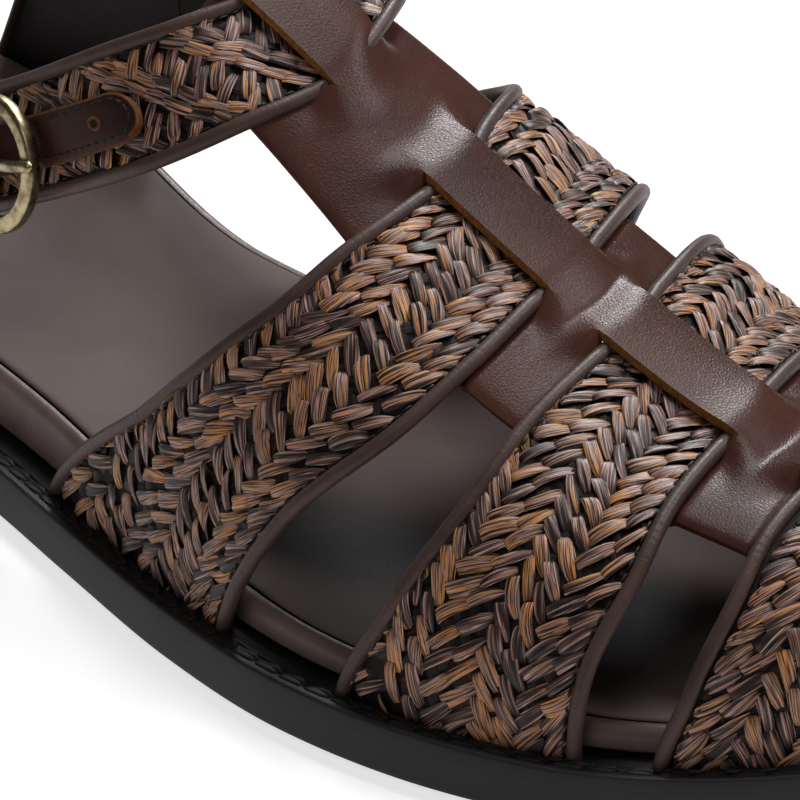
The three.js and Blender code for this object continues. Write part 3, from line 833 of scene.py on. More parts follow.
class Surface:
    """Material in the making."""

    def __init__(self, name: str) -> None:
        """Starts a material with its output node only.

        Args:
            name: Name of the real material and its surface.
        """
        self.material = bpy.data.materials.new(name)
        self.material.use_nodes = True
        self.tree = self.material.node_tree
        self.tree.nodes.clear()
        self.output = add_node(self.tree, "ShaderNodeOutputMaterial")

    def place(self) -> Socket:
        """Place on the piece, in its own axes."""
        node = self.tree.nodes.get("place") or add_node(self.tree, "ShaderNodeTexCoord", name="place")
        return node.outputs["Object"]

    def straw(self) -> Socket:
        """Place on a straw or a cord, across it and along it."""
        return add_node(self.tree, "ShaderNodeUVMap", uv_map="straw").outputs["UV"]

    def noise(self, size_mm: float, detail: float, more: dict | None = None) -> Socket:
        """Noise on the piece with spots of a size and finer steps; more gives further sockets."""
        inputs = {"Vector": self.place(), "Scale": 1 / (size_mm * MM), "Detail": detail, **(more or {})}
        return add_node(self.tree, "ShaderNodeTexNoise", inputs).outputs["Fac"]

    def drawn(self, across: float, along: float, detail: float, roughness: float) -> Socket:
        """Adds noise drawn out along each straw or cord.

        Args:
            across: Streaks in one unit across.
            along: Streaks in one millimetre along.
            detail: Finer steps of the noise.
            roughness: Weight of the finer steps.

        Returns:
            Streaks from 0 to 1.
        """
        scaled = add_node(self.tree, "ShaderNodeVectorMath", {0: self.straw(), 1: (across, along, 1.0)},
                          operation="MULTIPLY")
        inputs = {"Vector": scaled.outputs["Vector"], "Scale": 1.0, "Detail": detail, "Roughness": roughness}
        return add_node(self.tree, "ShaderNodeTexNoise", inputs, noise_dimensions="2D").outputs["Fac"]

    def ramp(self, value: Socket, stops: dict[float, str]) -> Socket:
        """Colours over a value, by place."""
        return add_node(self.tree, "ShaderNodeValToRGB", {"Fac": value}, stops).outputs["Color"]

    def calculate(self, operation: str, *values: Socket | float) -> Socket:
        """Result of a calculation with values."""
        return add_node(self.tree, "ShaderNodeMath", dict(enumerate(values)), operation=operation).outputs[0]

    def between(self, value: Socket, low: float, high: float, more: dict | None = None) -> Socket:
        """Value spread out between two others; more gives further sockets."""
        inputs = {"Value": value, "To Min": low, "To Max": high, **(more or {})}
        return add_node(self.tree, "ShaderNodeMapRange", inputs).outputs["Result"]

    def bump(self, height: Socket, strength: float, depth_mm: float, normal: Socket | None = None) -> Socket:
        """Adds a rough ground.

        Args:
            height: Height from 0 to 1.
            strength: Strength of the relief.
            depth_mm: Depth of the relief.
            normal: Normal of a ground under it.

        Returns:
            Normal.
        """
        inputs = {"Height": height, "Strength": strength, "Distance": depth_mm * MM}
        if normal:
            inputs["Normal"] = normal
        return add_node(self.tree, "ShaderNodeBump", inputs).outputs["Normal"]

    def finish(self, inputs: dict) -> bpy.types.Material:
        """Ends the material with its shader.

        Args:
            inputs: Values or outputs of other nodes by the shader's socket.

        Returns:
            The material.
        """
        shader = add_node(self.tree, "ShaderNodeBsdfPrincipled", inputs)
        self.tree.links.new(shader.outputs["BSDF"], self.output.inputs["Surface"])
        return self.material


@dataclass(frozen=True)
class Leather:
    """Finished calf: dyed through, waxed, with fine pores that break up its gloss."""

    name: str
    colour: str
    shade: str
    roughness: float = 0.46
    grain_mm: float = 0.55
    grain_depth_mm: float = 0.05
    grain_strength: float = 0.55
    cloud_mm: float = 14.0
    crease_mm: float = 0.0
    wrinkle_mm: float = 0.0
    specular: float = 0.5

    def build(self) -> bpy.types.Material:
        """Makes the material.

        Returns:
            Leather with clouds of dye, pores and, where asked, creases or drawn wrinkles.
        """
        made = Surface(self.name)
        clouds = made.noise(self.cloud_mm, 5.0, {"Roughness": 0.62})
        fleck = made.noise(0.6 * self.grain_mm, 3.0)
        pores = add_node(made.tree, "ShaderNodeTexVoronoi",
                         {"Vector": made.place(), "Scale": 1 / (self.grain_mm * MM), "Randomness": 1.0},
                         feature="DISTANCE_TO_EDGE").outputs["Distance"]
        gloss = made.between(fleck, self.roughness - 0.07, self.roughness + 0.09,
                             {"From Min": 0.3, "From Max": 0.7})
        normal = made.bump(made.calculate("ADD", pores, fleck), self.grain_strength, self.grain_depth_mm)
        if self.crease_mm:
            creases = made.noise(self.crease_mm, 6.0, {"Roughness": 0.7, "Distortion": 1.2})
            normal = made.bump(creases, 0.35, 0.25, normal)
        if self.wrinkle_mm:
            normal = made.bump(made.drawn(0.45, 1 / self.wrinkle_mm, 2.0, 0.5), 0.5, 0.12, normal)
        return made.finish({"Base Color": made.ramp(clouds, {0.34: self.shade, 0.62: self.colour}),
                            "Roughness": gloss, "IOR": 1.5, "Specular IOR Level": self.specular,
                            "Normal": normal})


@dataclass(frozen=True)
class Raffia:
    """Dyed palm straw, split and twisted: silky streaks along each straw, some left tan by the dye."""

    name: str = "dyed_raffia_plaited"
    dark: str = "#231510"
    mauve: str = "#6b483f"
    pale: str = "#b59184"
    tan: str = "#c0834b"
    crack: str = "#1c1210"
    specular: float = 0.32
    strand_mm: float = 0.55
    fibre_mm: float = 0.18
    run_mm: float = 11.0

    def build(self) -> bpy.types.Material:
        """Makes the material.

        Returns:
            Raffia with strands and cracks that follow each straw's own length.
        """
        made = Surface(self.name)
        strands = made.drawn(1 / self.strand_mm, 1 / self.run_mm, 1.0, 0.55)
        fibres = made.drawn(1 / self.fibre_mm, 1 / self.run_mm, 2.0, 0.55)
        across = add_node(made.tree, "ShaderNodeSeparateXYZ", {"Vector": made.straw()}).outputs["X"]
        number = made.calculate("ROUND", made.calculate("MULTIPLY", across, 1 / STRAW_STEP))
        chance = add_node(made.tree, "ShaderNodeTexWhiteNoise", {"W": number}, noise_dimensions="1D")
        shifted = made.calculate("ADD", strands, made.between(chance.outputs["Value"], -0.15, 0.16))
        tone = made.ramp(shifted, {0.32: self.dark, 0.43: self.mauve, 0.53: self.pale, 0.59: self.mauve,
                                   0.65: self.tan, 0.75: self.tan, 0.85: self.dark})
        cracks = made.ramp(fibres, {0.42: self.crack, 0.51: "#ffffff"})
        colour = add_node(made.tree, "ShaderNodeMix", {0: 1.0, 6: tone, 7: cracks}, data_type="RGBA",
                          blend_type="MULTIPLY")
        return made.finish({"Base Color": colour.outputs[2], "Roughness": 0.45, "IOR": 1.5,
                            "Specular IOR Level": self.specular, "Normal": made.bump(fibres, 0.8, 0.1)})


@dataclass(frozen=True)
class Rubber:
    """Moulded and buffed sole rubber: matt, close grain, a soft broad gloss."""

    name: str = "sole_rubber_buffed"
    colour: str = "#1c1b1b"
    worn: str = "#232222"
    roughness: float = 0.6
    grit_mm: float = 0.35
    cloud_mm: float = 22.0

    def build(self) -> bpy.types.Material:
        """Makes the material.

        Returns:
            Rubber with a fine buffed grit.
        """
        made = Surface(self.name)
        tone = made.ramp(made.noise(self.cloud_mm, 3.0), {0.35: self.colour, 0.7: self.worn})
        grit = made.bump(made.noise(self.grit_mm, 4.0), 0.25, 0.05)
        return made.finish({"Base Color": tone, "Roughness": self.roughness, "IOR": 1.52,
                            "Specular IOR Level": 0.2, "Normal": grit})


@dataclass(frozen=True)
class Brass:
    """Antiqued brass: plated, with patches of dark patina and rubbed bright between them."""

    name: str = "antique_brass_rubbed"
    bright: str = "#aa9c7b"
    dark: str = "#5b4d2e"
    roughness: float = 0.3
    patina_mm: float = 2.2
    rub_mm: float = 0.25

    def build(self) -> bpy.types.Material:
        """Makes the material.

        Returns:
            Metal with patches of dark patina and fine rubbing.
        """
        made = Surface(self.name)
        patina = made.noise(self.patina_mm, 6.0, {"Roughness": 0.65})
        rub = made.noise(self.rub_mm, 2.0)
        tone = made.ramp(patina, {0.36: self.dark, 0.6: self.bright})
        gloss = made.between(rub, self.roughness - 0.08, self.roughness + 0.14)
        return made.finish({"Base Color": tone, "Metallic": 1.0, "Roughness": gloss,
                            "Normal": made.bump(rub, 0.15, 0.03)})


@dataclass(frozen=True)
class Fibre:
    """Raw cut edges, thread and woven backing: matt fibres with a fleck of another tone; the backing's
    near-black also serves as painted shade.
    """

    name: str
    colour: str
    fleck: str
    fleck_mm: float = 0.5
    roughness: float = 0.8

    def build(self) -> bpy.types.Material:
        """Makes the material.

        Returns:
            Matt fibres.
        """
        made = Surface(self.name)
        flecks = made.noise(self.fleck_mm, 4.0, {"Roughness": 0.7})
        tone = made.ramp(flecks, {0.42: self.colour, 0.7: self.fleck})
        return made.finish({"Base Color": tone, "Roughness": self.roughness, "IOR": 1.5,
                            "Specular IOR Level": 0.2, "Normal": made.bump(flecks, 0.6, 0.15)})


class Finish(Enum):
    """Every finish of the sandal."""

    # Dark red-brown calf, semi-gloss, with a soft highlight on every hump
    BAR = Leather("bar_calf_waxed", "#43271f", "#351e19", roughness=0.31, grain_depth_mm=0.06,
                  grain_strength=0.6, specular=0.08)
    # The same calf pared thin round a cord, greyer and finely creased along the bends
    PIPING = Leather("piping_calf_pared", "#4a3833", "#392a26", roughness=0.45, wrinkle_mm=0.7,
                     specular=0.2)
    # Lining of near-black calf with a flat finish
    LINING = Leather("lining_calf_matt", "#1d1412", "#150e0c", roughness=0.6, specular=0.2)
    # Smooth sock leather of the footbed, rubbed satin
    FOOTBED = Leather("footbed_sheepskin_satin", "#655957", "#5a4f4d", roughness=0.6, grain_mm=0.45,
                      grain_depth_mm=0.03, cloud_mm=40.0, specular=0.04)
    # Footbed edge drawn round the board, with gathers
    EDGE = Leather("footbed_edge_drawn", "#604e49", "#4c3d39", roughness=0.42, crease_mm=3.0,
                   specular=0.25)
    # Waxed black welt leather with an open grain
    WELT = Leather("welt_leather_waxed", "#100e0d", "#090808", roughness=0.5, grain_mm=0.8,
                   grain_strength=0.9, specular=0.35)
    # Burnished strap leather of the billet, darker than the bar
    BILLET = Leather("billet_calf_burnished", "#351d17", "#281510", roughness=0.4, specular=0.1)
    # Tan core of cut leather
    RAW_EDGE = Fibre("cut_leather_edge", "#80501f", "#4a2f1a", fleck_mm=0.8)
    # Billet's cut edge, burnished dark
    BILLET_EDGE = Fibre("billet_edge_burnished", "#61391c", "#3c2415", fleck_mm=0.8)
    # Black thread drawn through wax, its twist rubbed a little paler
    THREAD = Fibre("waxed_black_thread", "#120f0e", "#2b2421", fleck_mm=0.35, roughness=0.5)
    # Near-black woven backing under the straw; its darkness is also painted shade in the gaps between the
    # straws, in the footbed's cut groove and in the billet's hole
    BACKING = Fibre("woven_backing_painted_shade", "#0d0909", "#1d1513", fleck_mm=0.7)
    # Silky straw in mauve, with strands that the dye left tan
    RAFFIA = Raffia()
    # Straws of the lower layer: the raffia darkened as painted shade, for the shade that the upper layer
    # casts on them
    RAFFIA_LOW = Raffia("raffia_underlay_painted_shade", "#090605", "#1d1311", "#271b18", "#33200f",
                        specular=0.15)
    # Near-black rubber with a soft, broad gloss
    RUBBER = Rubber()
    # Old gold with darker patches
    BRASS = Brass()

    def material(self) -> bpy.types.Material:
        """The finish's material, made at its first use."""
        return bpy.data.materials.get(self.value.name) or self.value.build()


@dataclass
class SoleUnit:
    """Outsole, heel block, welt with its stitches, and footbed."""

    steps_per_row: int = 12
    heel_breast_row: int = 4
    edge_round: float = 1.0
    welt_reach_in: float = 8.0
    footbed_inset: float = 6.5
    stitch_pitch: float = 5.05
    stitch_inset: float = 2.3
    stitch_width: float = 2.1

    def slab(self, draft: Draft, levels: list, to_row: int, top_slot: int = 0,
             side_slots: list | None = None) -> None:
        """Adds a closed body between levels of the sole's outline.

        Args:
            draft: Mesh in the making.
            levels: Rows of inset, height and what the height is counted from.
            to_row: Last row of the outline that the body reaches.
            top_slot: Number of the top face's material.
            side_slots: Numbers of the sides' materials from the lowest band up.
        """
        count = to_row * self.steps_per_row
        row = np.arange(count + 1) / self.steps_per_row
        closes = to_row == LAST.rows
        loop = []
        for inset, z, base in levels:
            lateral, medial = (LAST.edge_point(side, row, np.full_like(row, inset)) for side in Side)
            ring = np.vstack([lateral, medial[-2:0:-1] if closes else medial[:0:-1]])
            ring[:, 2] = z
            if base is not Base.FLOOR:
                ring[:, 2] += LAST.lift(ring[:, 0])
            if base is Base.SOCK:
                ring[:, 2] += FOOTBED_TOP.read("z", "x", ring[:, 0])
            loop.append(ring)
        points = np.array(loop)
        size = points.shape[1]
        bands = grid_faces(len(levels), size, closed=True).reshape(len(levels) - 1, size, 4)
        k = np.arange(1, count - 1 if closes else count)
        ladder = np.stack([k, k + 1, size - k - 1, size - k], axis=1)
        ends = [[0, 1, size - 1]]
        if closes:
            ends.append([count - 1, count, count + 1])
        top = (len(levels) - 1) * size
        groups = [(ladder[:, ::-1], 0), (np.array(ends)[:, ::-1], 0),
                  (ladder + top, top_slot), (np.array(ends) + top, top_slot)]
        slots = side_slots or [0] * len(bands)
        groups += [(band, slot) for band, slot in zip(bands, slots)]
        draft.add(points, *groups)

    def outsole(self) -> None:
        """Builds the outsole and the heel block."""
        r, gap, sole, floor = self.edge_round, LAST.gap, Base.SOLE, Base.FLOOR
        tread, heel = Draft(), Draft()
        self.slab(tread, [(r, 0, sole), (0.3 * r, 0.3 * r, sole), (0, r, sole),
                          (0, LAST.outsole_thick, sole)], LAST.rows)
        tread.make("outsole_tread", [Finish.RUBBER], "sole_rubber", "outsole")
        self.slab(heel, [(r, 0, floor), (0.65 * r, 0.3 * r, floor), (0.5 * r, r, floor),
                         (0.5 * r, -gap - 0.25, sole), (0.7 * r, -gap, sole)], self.heel_breast_row)
        heel.make("heel_lift", [Finish.RUBBER], "sole_rubber", "heel_block")

    def welt(self) -> None:
        """Builds the welt, its stitch channel and its stitches; its side runs down to the outsole."""
        base = LAST.outsole_thick + LAST.gap
        top = base + LAST.welt_thick
        s, half = self.stitch_inset, 0.5 * self.stitch_width
        side = [(0.0, LAST.outsole_thick + 0.02), (0.0, top - 0.5), (0.1, top - 0.2), (0.3, top - 0.04)]
        face = [(0.55, top), (s - half - 0.1, top), (s - half + 0.1, top - 0.3), (s, top - 0.4),
                (s + half - 0.1, top - 0.3), (s + half + 0.1, top), (self.welt_reach_in, top),
                (self.welt_reach_in, base), (0.8, base)]
        count = 2 * LAST.rows * self.steps_per_row
        around = np.arange(count) / count
        rings = []
        for inset, z in side + face:
            ring = LAST.round_edge(around, np.full(count, inset))
            ring[:, 2] = z + LAST.lift(ring[:, 0])
            rings.append(ring)
        quads = grid_faces(len(rings), count, closed=True, looped=True)
        wall = (len(side) - 1) * count
        strip = Draft()
        strip.add(np.array(rings), (quads[:wall], 1), (quads[wall:], 0))
        strip.make("welt_strip", [Finish.WELT, Finish.RUBBER], "welt_leather", "welt")
        seam = Draft()
        dense = np.linspace(0, 1, 4000)
        line = LAST.round_edge(dense, np.full_like(dense, s))
        line[:, 2] = top - 0.15 + LAST.lift(line[:, 0])
        centres, way = spaced(line, self.stitch_pitch)
        up = np.tile([0.0, 0.0, 1.0], (len(centres), 1))
        slanted = unit(way + 0.16 * np.cross(up, way))
        stitches(seam, centres, slanted, up, (self.stitch_pitch * 0.95, self.stitch_width, 0.3), plies=2)
        seam.make("welt_stitches", [Finish.THREAD], "welt_leather")

    def footbed(self) -> None:
        """Builds the footbed: a drawn edge, the cut line of the sock with near-black walls as painted shade
        in the groove, and its flat top.
        """
        n, low = self.footbed_inset, LAST.feather_z
        foot = [(n + 1.8, LAST.outsole_thick + LAST.gap), (n + 1.8, low + 0.3), (n + 0.6, low + 0.4),
                (n, low + 1.0)]
        roll = [(n, -2.6), (n + 0.15, -1.7), (n + 0.5, -0.95), (n + 1.05, -0.5), (n + 1.6, -0.36),
                (n + 2.1, -0.5), (n + 2.28, -0.8)]
        cut = [(n + 2.34, -1.1), (n + 2.48, -1.1)]
        sock = [(n + 2.56, -0.5), (n + 2.75, -0.17), (n + 3.1, -0.03), (n + 3.8, 0.0)]
        levels = [(*level, Base.SOLE) for level in foot]
        levels += [(*level, Base.SOCK) for level in roll + cut + sock]
        bed = Draft()
        drawn = len(foot) + len(roll) - 1
        # The walls of the cut line take the near-black backing: painted shade in the groove
        side = [0] * drawn + [2] * (len(cut) + 1) + [1] * (len(sock) - 1)
        self.slab(bed, levels, LAST.rows, top_slot=1, side_slots=side)
        bed.make("footbed_sock", [Finish.EDGE, Finish.FOOTBED, Finish.BACKING], "footbed_leather", "footbed")

    def build(self) -> None:
        """Builds every piece of the sole."""
        self.outsole()
        self.welt()
        self.footbed()


# Ways of the plait's columns, one after the other, over and over
REPEAT = (Slant.FLAT, Slant.FLAT, Slant.STEEP, Slant.STEEP)


@dataclass(frozen=True)
class Layer:
    """One of the two layers of straws; the lower one leans the other way."""

    slot: int
    seed: int
    turned: bool
    points_long: int
    points_wide: int
    wider: float
    rise: float
    sunk: float


UPPER = Layer(slot=0, seed=0, turned=False, points_long=9, points_wide=9, wider=1.0, rise=0.6, sunk=0.12)
LOWER = Layer(slot=1, seed=1000, turned=True, points_long=5, points_wide=4, wider=1.2, rise=0.25, sunk=0.42)


@dataclass(frozen=True)
class Straw:
    """Form of a straw, and how far straws differ: a pair is a range, one number the usual difference."""

    width: float = 2.05
    thick: float = 0.24
    width_range: tuple[float, float] = (0.8, 1.2)
    length_range: tuple[float, float] = (0.92, 1.1)
    rise_range: tuple[float, float] = (0.7, 1.25)
    raised_tip: tuple[float, float] = (0.75, 1.0)
    tucked_tip: tuple[float, float] = (0.4, 0.75)
    turn: float = 0.08
    bow: float = 0.16
    lag: float = 0.4
    rib: float = 0.07
    ribs: int = 17
    twist: float = 0.2
    tilt: float = 0.17
    end_slope: float = 0.16


STRAW = Straw()


@dataclass
class PlaitedStrap:
    """Strap of plaited straw on a backing, with a leather lining and piped edges."""

    name: str
    sheet: Sheet
    seed: int
    piped_front: bool = True
    from_rear: bool = False
    crosswise: bool = False
    sewn_in: bool = True
    wall: float = 1.3
    piping_radius: float = 1.15
    piping_inset: float = 0.75
    piping_height: float = 0.15
    seam_pitch: float = 2.2
    seam_stitch: tuple[float, float, float] = (1.7, 0.42, 0.18)
    plait_inset: float = 1.7
    column: float = 3.55
    widest: float = 1.45
    pitch: float = 3.4
    steep_shift: float = 0.67
    steep_deg: float = -56.0
    flat_deg: float = 24.0
    steep_long: float = 6.0
    flat_long: float = 6.4
    spare_pitches: float = 0.4
    long_pitches: float = 20.0
    tucked_in: float = 2.5

    def edge_line(self, inset: float, from_front: bool, height: float) -> tuple[Array, Array]:
        """Line along one edge of the strap.

        Args:
            inset: Distance inwards from the edge.
            from_front: Whether it is the front edge.
            height: Height over the strap.

        Returns:
            Points, and the strap's normals there.
        """
        u = np.linspace(0, 1, 200)
        share = inset / np.interp(u, np.linspace(0, 1, self.sheet.size[0]), self.sheet.width())
        v = 1 - share if from_front else share
        return self.sheet.at(u, v, height), unit(self.sheet.sample(self.sheet.normal, u, v))

    def plait_sheet(self) -> Sheet:
        """Part of the strap between its piped edges, as a sheet whose length is that of the columns.

        Returns:
            The sheet.
        """
        rows, columns = self.sheet.size
        share = (self.plait_inset / self.sheet.width())[:, None]
        end = 1 - share if self.piped_front else np.ones_like(share)
        u, v = np.broadcast_arrays(np.linspace(0, 1, rows)[:, None],
                                   mix(share, end, np.linspace(0, 1, columns)[None, :]))
        points, normal = self.sheet.at(u, v), self.sheet.sample(self.sheet.normal, u, v)
        if self.crosswise:
            points, normal = points.swapaxes(0, 1), normal.swapaxes(0, 1)
        inner = Sheet(points)
        inner.normal = normal
        return inner

    def straws(self, draft: Draft, sheet: Sheet, layer: Layer) -> None:
        """Adds one layer of straws, column by column.

        Args:
            draft: Mesh in the making.
            sheet: Sheet between the piped edges.
            layer: Layer of the plait.
        """
        draw = np.random.default_rng(self.seed + layer.seed)
        grid, across = (np.linspace(0, 1, size) for size in sheet.size)
        lengths, reach = sheet.lengths(), sheet.reach()
        widths = reach[:, -1]
        # Where the strap spreads far past its usual width, its columns spread too
        usual = np.minimum(widths, self.widest * np.median(widths))
        shift = 0.0
        spots = []
        for k in range(math.ceil(usual.max() / self.column)):
            slant, before = REPEAT[k % len(REPEAT)], REPEAT[(k - 1) % len(REPEAT)]
            share = (k + 0.5) * self.column / usual
            share = share if self.from_rear else 1 - share
            line = np.array([np.interp(s * w, r, across) for s, w, r in zip(share, widths, reach)])
            line += share - np.clip(share, 0, 1)
            if self.from_rear:
                run = run_of(sheet.at(grid, line))
            else:
                run = np.maximum.accumulate(sheet.sample(lengths[..., None], grid, line)[..., 0])
            if slant is not before:
                shift += 0.5 * self.pitch
            elif slant is Slant.STEEP:
                shift += (-self.steep_shift if self.from_rear else self.steep_shift) * self.pitch
            whole = run[-1] - run[0]
            sewn = self.sewn_in and whole > self.long_pitches * self.pitch
            spare = self.spare_pitches * self.pitch if sewn else 0.0
            stations = np.arange(run[0] + shift % self.pitch - spare, run[-1] + spare, self.pitch)
            stations = stations + draw.uniform(-0.25, 0.25, len(stations))
            past = (stations - np.clip(stations, run[0], run[-1])) / max(whole, 1.0)
            u = np.interp(stations, run, grid)
            width = np.interp(u, grid, widths)
            q = np.interp(u, grid, line) + draw.normal(0, 0.1, len(u)) / width
            edge = 0.45 * self.column / width
            keep = (q > -edge) & (q < 1 + edge)
            steep = np.full(keep.sum(), (slant is Slant.STEEP) is not layer.turned)
            spots.append(((u + past)[keep], q[keep], steep))
        self.lay(draft, sheet, layer, [np.concatenate(part) for part in zip(*spots)], draw)

    def lay(self, draft: Draft, sheet: Sheet, layer: Layer, spots: list[Array],
            draw: np.random.Generator) -> None:
        """Shapes straws at their places: a twisted ribbon of fibres with both ends tucked down.

        Args:
            draft: Mesh in the making.
            sheet: Sheet between the piped edges.
            layer: Layer of the plait.
            spots: Places of the straws along the sheet and across it, and which lie steep.
            draw: Random draws.
        """
        u, q, steep = (values[:, None, None] for values in spots)
        count, each = len(u), (len(u), 1, 1)
        along, across = sheet.sample(sheet.along, u, q), sheet.sample(sheet.across, u, q)
        way = unit(along)
        square = np.cross(unit(sheet.sample(sheet.normal, u, q)), way)
        square *= np.sign(np.sum(square * across, axis=-1, keepdims=True))
        spread = np.maximum(np.sum(across * square, axis=-1), 1.0)
        length = np.where(steep, self.steep_long, self.flat_long) * draw.uniform(*STRAW.length_range, each)
        turn = np.radians(np.where(steep, self.steep_deg, self.flat_deg)) + draw.normal(0, STRAW.turn, each)
        width = STRAW.width * draw.uniform(*STRAW.width_range, each) * layer.wider
        share = np.sin(0.5 * np.pi * np.linspace(-1, 1, layer.points_long))[:, None]
        side = np.linspace(-1, 1, layer.points_wide)
        # One end lies over the next column, the other is tucked under the column before
        over = share * np.where(steep, 1.0, -1.0)
        raised = over > 0
        tip = np.where(raised, draw.uniform(*STRAW.raised_tip, each), draw.uniform(*STRAW.tucked_tip, each))
        pinch = 1 - (1 - tip) * np.abs(share) ** np.where(raised, 4.0, 2.2)
        bow = draw.normal(0, STRAW.bow, each) * (1 - share ** 2)
        lag = draw.normal(0, STRAW.lag, each) * share
        run = 0.5 * length * share * np.ones_like(side)
        beside = 0.5 * width * pinch * side + bow
        top = layer.rise * draw.uniform(*STRAW.rise_range, each)
        arch = (1 - np.abs(share) ** np.where(raised, 5.0, 2.2)) * top + STRAW.end_slope * over
        arch -= layer.sunk
        dome = STRAW.thick * np.sqrt(np.clip(1 - 0.97 * side ** 6, 0, 1))
        spot = np.clip(4 * (side + lag + 2), 0, STRAW.ribs - 1.01)
        ribs = draw.normal(0, STRAW.rib, (count, STRAW.ribs))
        one, k = np.arange(count)[:, None, None], spot.astype(int)
        fibres = mix(ribs[one, k], ribs[one, k + 1], spot - k) * (1 - 0.6 * np.abs(side) ** 6)
        twist = draw.normal(0, STRAW.twist, each) * side * share
        tilt = draw.normal(0, STRAW.tilt, each) * side
        height = arch + dome * pinch + fibres + twist + tilt
        cos, sin = np.cos(turn), np.sin(turn)
        # The last point of each row closes the straw from below
        forward = np.concatenate([run * cos - beside * sin, (run * cos)[:, :, :1]], axis=2)
        aside = np.concatenate([run * sin + beside * cos, (run * sin)[:, :, :1]], axis=2)
        height = np.concatenate([height, arch - 0.25], axis=2)
        off_q = aside / spread
        off_u = (forward - np.sum(across * way, axis=-1) * off_q) / np.linalg.norm(along, axis=-1)
        far, wide = u + off_u, np.clip(q + off_q, -0.02, 1.02)
        pace = np.linalg.norm(sheet.sample(sheet.along, far, wide), axis=-1)
        spare = (self.tucked_in if self.sewn_in else 0.0) / np.maximum(pace, 25.0)
        points = sheet.at(np.clip(far, -spare, 1 + spare), wide, height)
        number = STRAW_STEP * (1 + np.arange(count) + 7 * self.seed)[:, None, None]
        streak = 0.5 * width * (side + 0.6 * lag)
        streak = np.concatenate([streak, 0 * streak[:, :, :1]], axis=2)
        place_along = np.concatenate([run, run[:, :, :1]], axis=2)
        straw = np.stack([number + streak, place_along + 10.0], axis=-1)
        faces = [(face, layer.slot) for face in self.straw_faces(count, layer)]
        draft.add(points, *faces, straw=straw)

    @staticmethod
    def straw_faces(count: int, layer: Layer) -> tuple[Array, Array]:
        """Faces of straws whose rows of points each end with one below.

        Args:
            count: Number of straws.
            layer: Layer of the plait.

        Returns:
            Quads along the straws, and triangles of their tips.
        """
        per_row = layer.points_wide + 1
        band = grid_faces(layer.points_long, per_row, closed=True)
        end = (layer.points_long - 1) * per_row
        fan = np.arange(layer.points_wide - 1)
        below = np.full_like(fan, layer.points_wide)
        tips = np.vstack([np.stack([fan + 1, fan, below], axis=1),
                          np.stack([fan + end, fan + 1 + end, below + end], axis=1)])
        first = (layer.points_long * per_row * np.arange(count))[:, None, None]
        return (band[None] + first).reshape(-1, 4), (tips[None] + first).reshape(-1, 3)

    def build(self) -> None:
        """Builds the wall, the plait, the piping and its stitches."""
        rows, columns = 90, 14
        wall, plait, piping, seam = Draft(), Draft(), Draft(), Draft()
        u, v = np.meshgrid(np.linspace(0, 1, rows), np.linspace(0.015, 0.985, columns), indexing="ij")
        # The wall's outer face is the near-black backing, partly painted shade where it shows between the
        # straws
        thick(wall, self.sheet.at(u, v, -0.15), self.sheet.at(u, v, -self.wall), grid_faces(rows, columns),
              (0, 1, 1))
        wall.make(f"{self.name}_lining", [Finish.BACKING, Finish.LINING], "strap_leather", "upper")
        inner = self.plait_sheet()
        for layer in (LOWER, UPPER):
            self.straws(plait, inner, layer)
        # The lower layer takes the darkened raffia, painted shade under the upper layer
        plait.make(f"{self.name}_plait", [Finish.RAFFIA, Finish.RAFFIA_LOW], "plaited_raffia", "upper",
                   sharp_deg=75)
        for from_front in (False, True) if self.piped_front else (False,):
            line, up = self.edge_line(self.piping_inset, from_front, self.piping_height)
            tube(piping, line, up, self.piping_radius)
            thread, _ = self.edge_line(self.piping_inset + self.piping_radius + 0.2, from_front, 0.5)
            centres, way = spaced(thread, self.seam_pitch)
            normal = along_line(np.linspace(0, 1, len(centres)), np.linspace(0, 1, len(up)), up)
            stitches(seam, centres, way, unit(normal), self.seam_stitch)
        piping.make(f"{self.name}_piping", [Finish.PIPING], "strap_leather", "upper")
        seam.make(f"{self.name}_seam", [Finish.THREAD], "strap_leather")


@dataclass
class Straps:
    """The four plaited straps: ankle, two over the forefoot, and the closed toe."""

    along: int = 241
    across: int = 61

    def over_last(self, rear: str, front: str) -> Sheet:
        """Sheet of a strap over the last.

        Args:
            rear: Column of its rear edge in the table of edges.
            front: Column of its front edge.

        Returns:
            The sheet.
        """
        u, v = even_grid(self.along, self.across)
        start, end = (STRAP_EDGES.read(edge, "share", u) for edge in (rear, front))
        return Sheet(LAST.point(mix(start, end, v), u, 0.0), outward=-1)

    def toe(self) -> Sheet:
        """Sheet of the toe cap, from its rear edge almost to the tip."""
        u, v = even_grid(self.along, self.across)
        return Sheet(LAST.cap_point(0.985 * v, u, 0.0), outward=-1)

    def ankle(self) -> Sheet:
        """Sheet of the ankle strap, from its lower edge to its upper one."""
        u, v = even_grid(self.along, self.across)
        return Sheet(mix(Spline(ANKLE_LOW).at(u), Spline(ANKLE_TOP).at(u), v[..., None]))

    def build(self) -> None:
        """Builds the straps from the ankle to the toe."""
        straps = [
            PlaitedStrap("strap_ankle", self.ankle(), seed=1, crosswise=True, sewn_in=False, steep_deg=-43.0,
                         flat_deg=37.0, steep_long=6.2, flat_long=5.8, pitch=3.0, column=3.4),
            PlaitedStrap("strap_instep", self.over_last("rear2", "front2"), seed=2),
            PlaitedStrap("strap_ball", self.over_last("rear3", "front3"), seed=3, steep_deg=-40.0,
                         flat_deg=35.0, flat_long=6.2),
            PlaitedStrap("toe_cap", self.toe(), seed=4, piped_front=False, from_rear=True, steep_deg=-42.0,
                         flat_deg=33.0, flat_long=6.2),
        ]
        for strap in straps:
            strap.build()


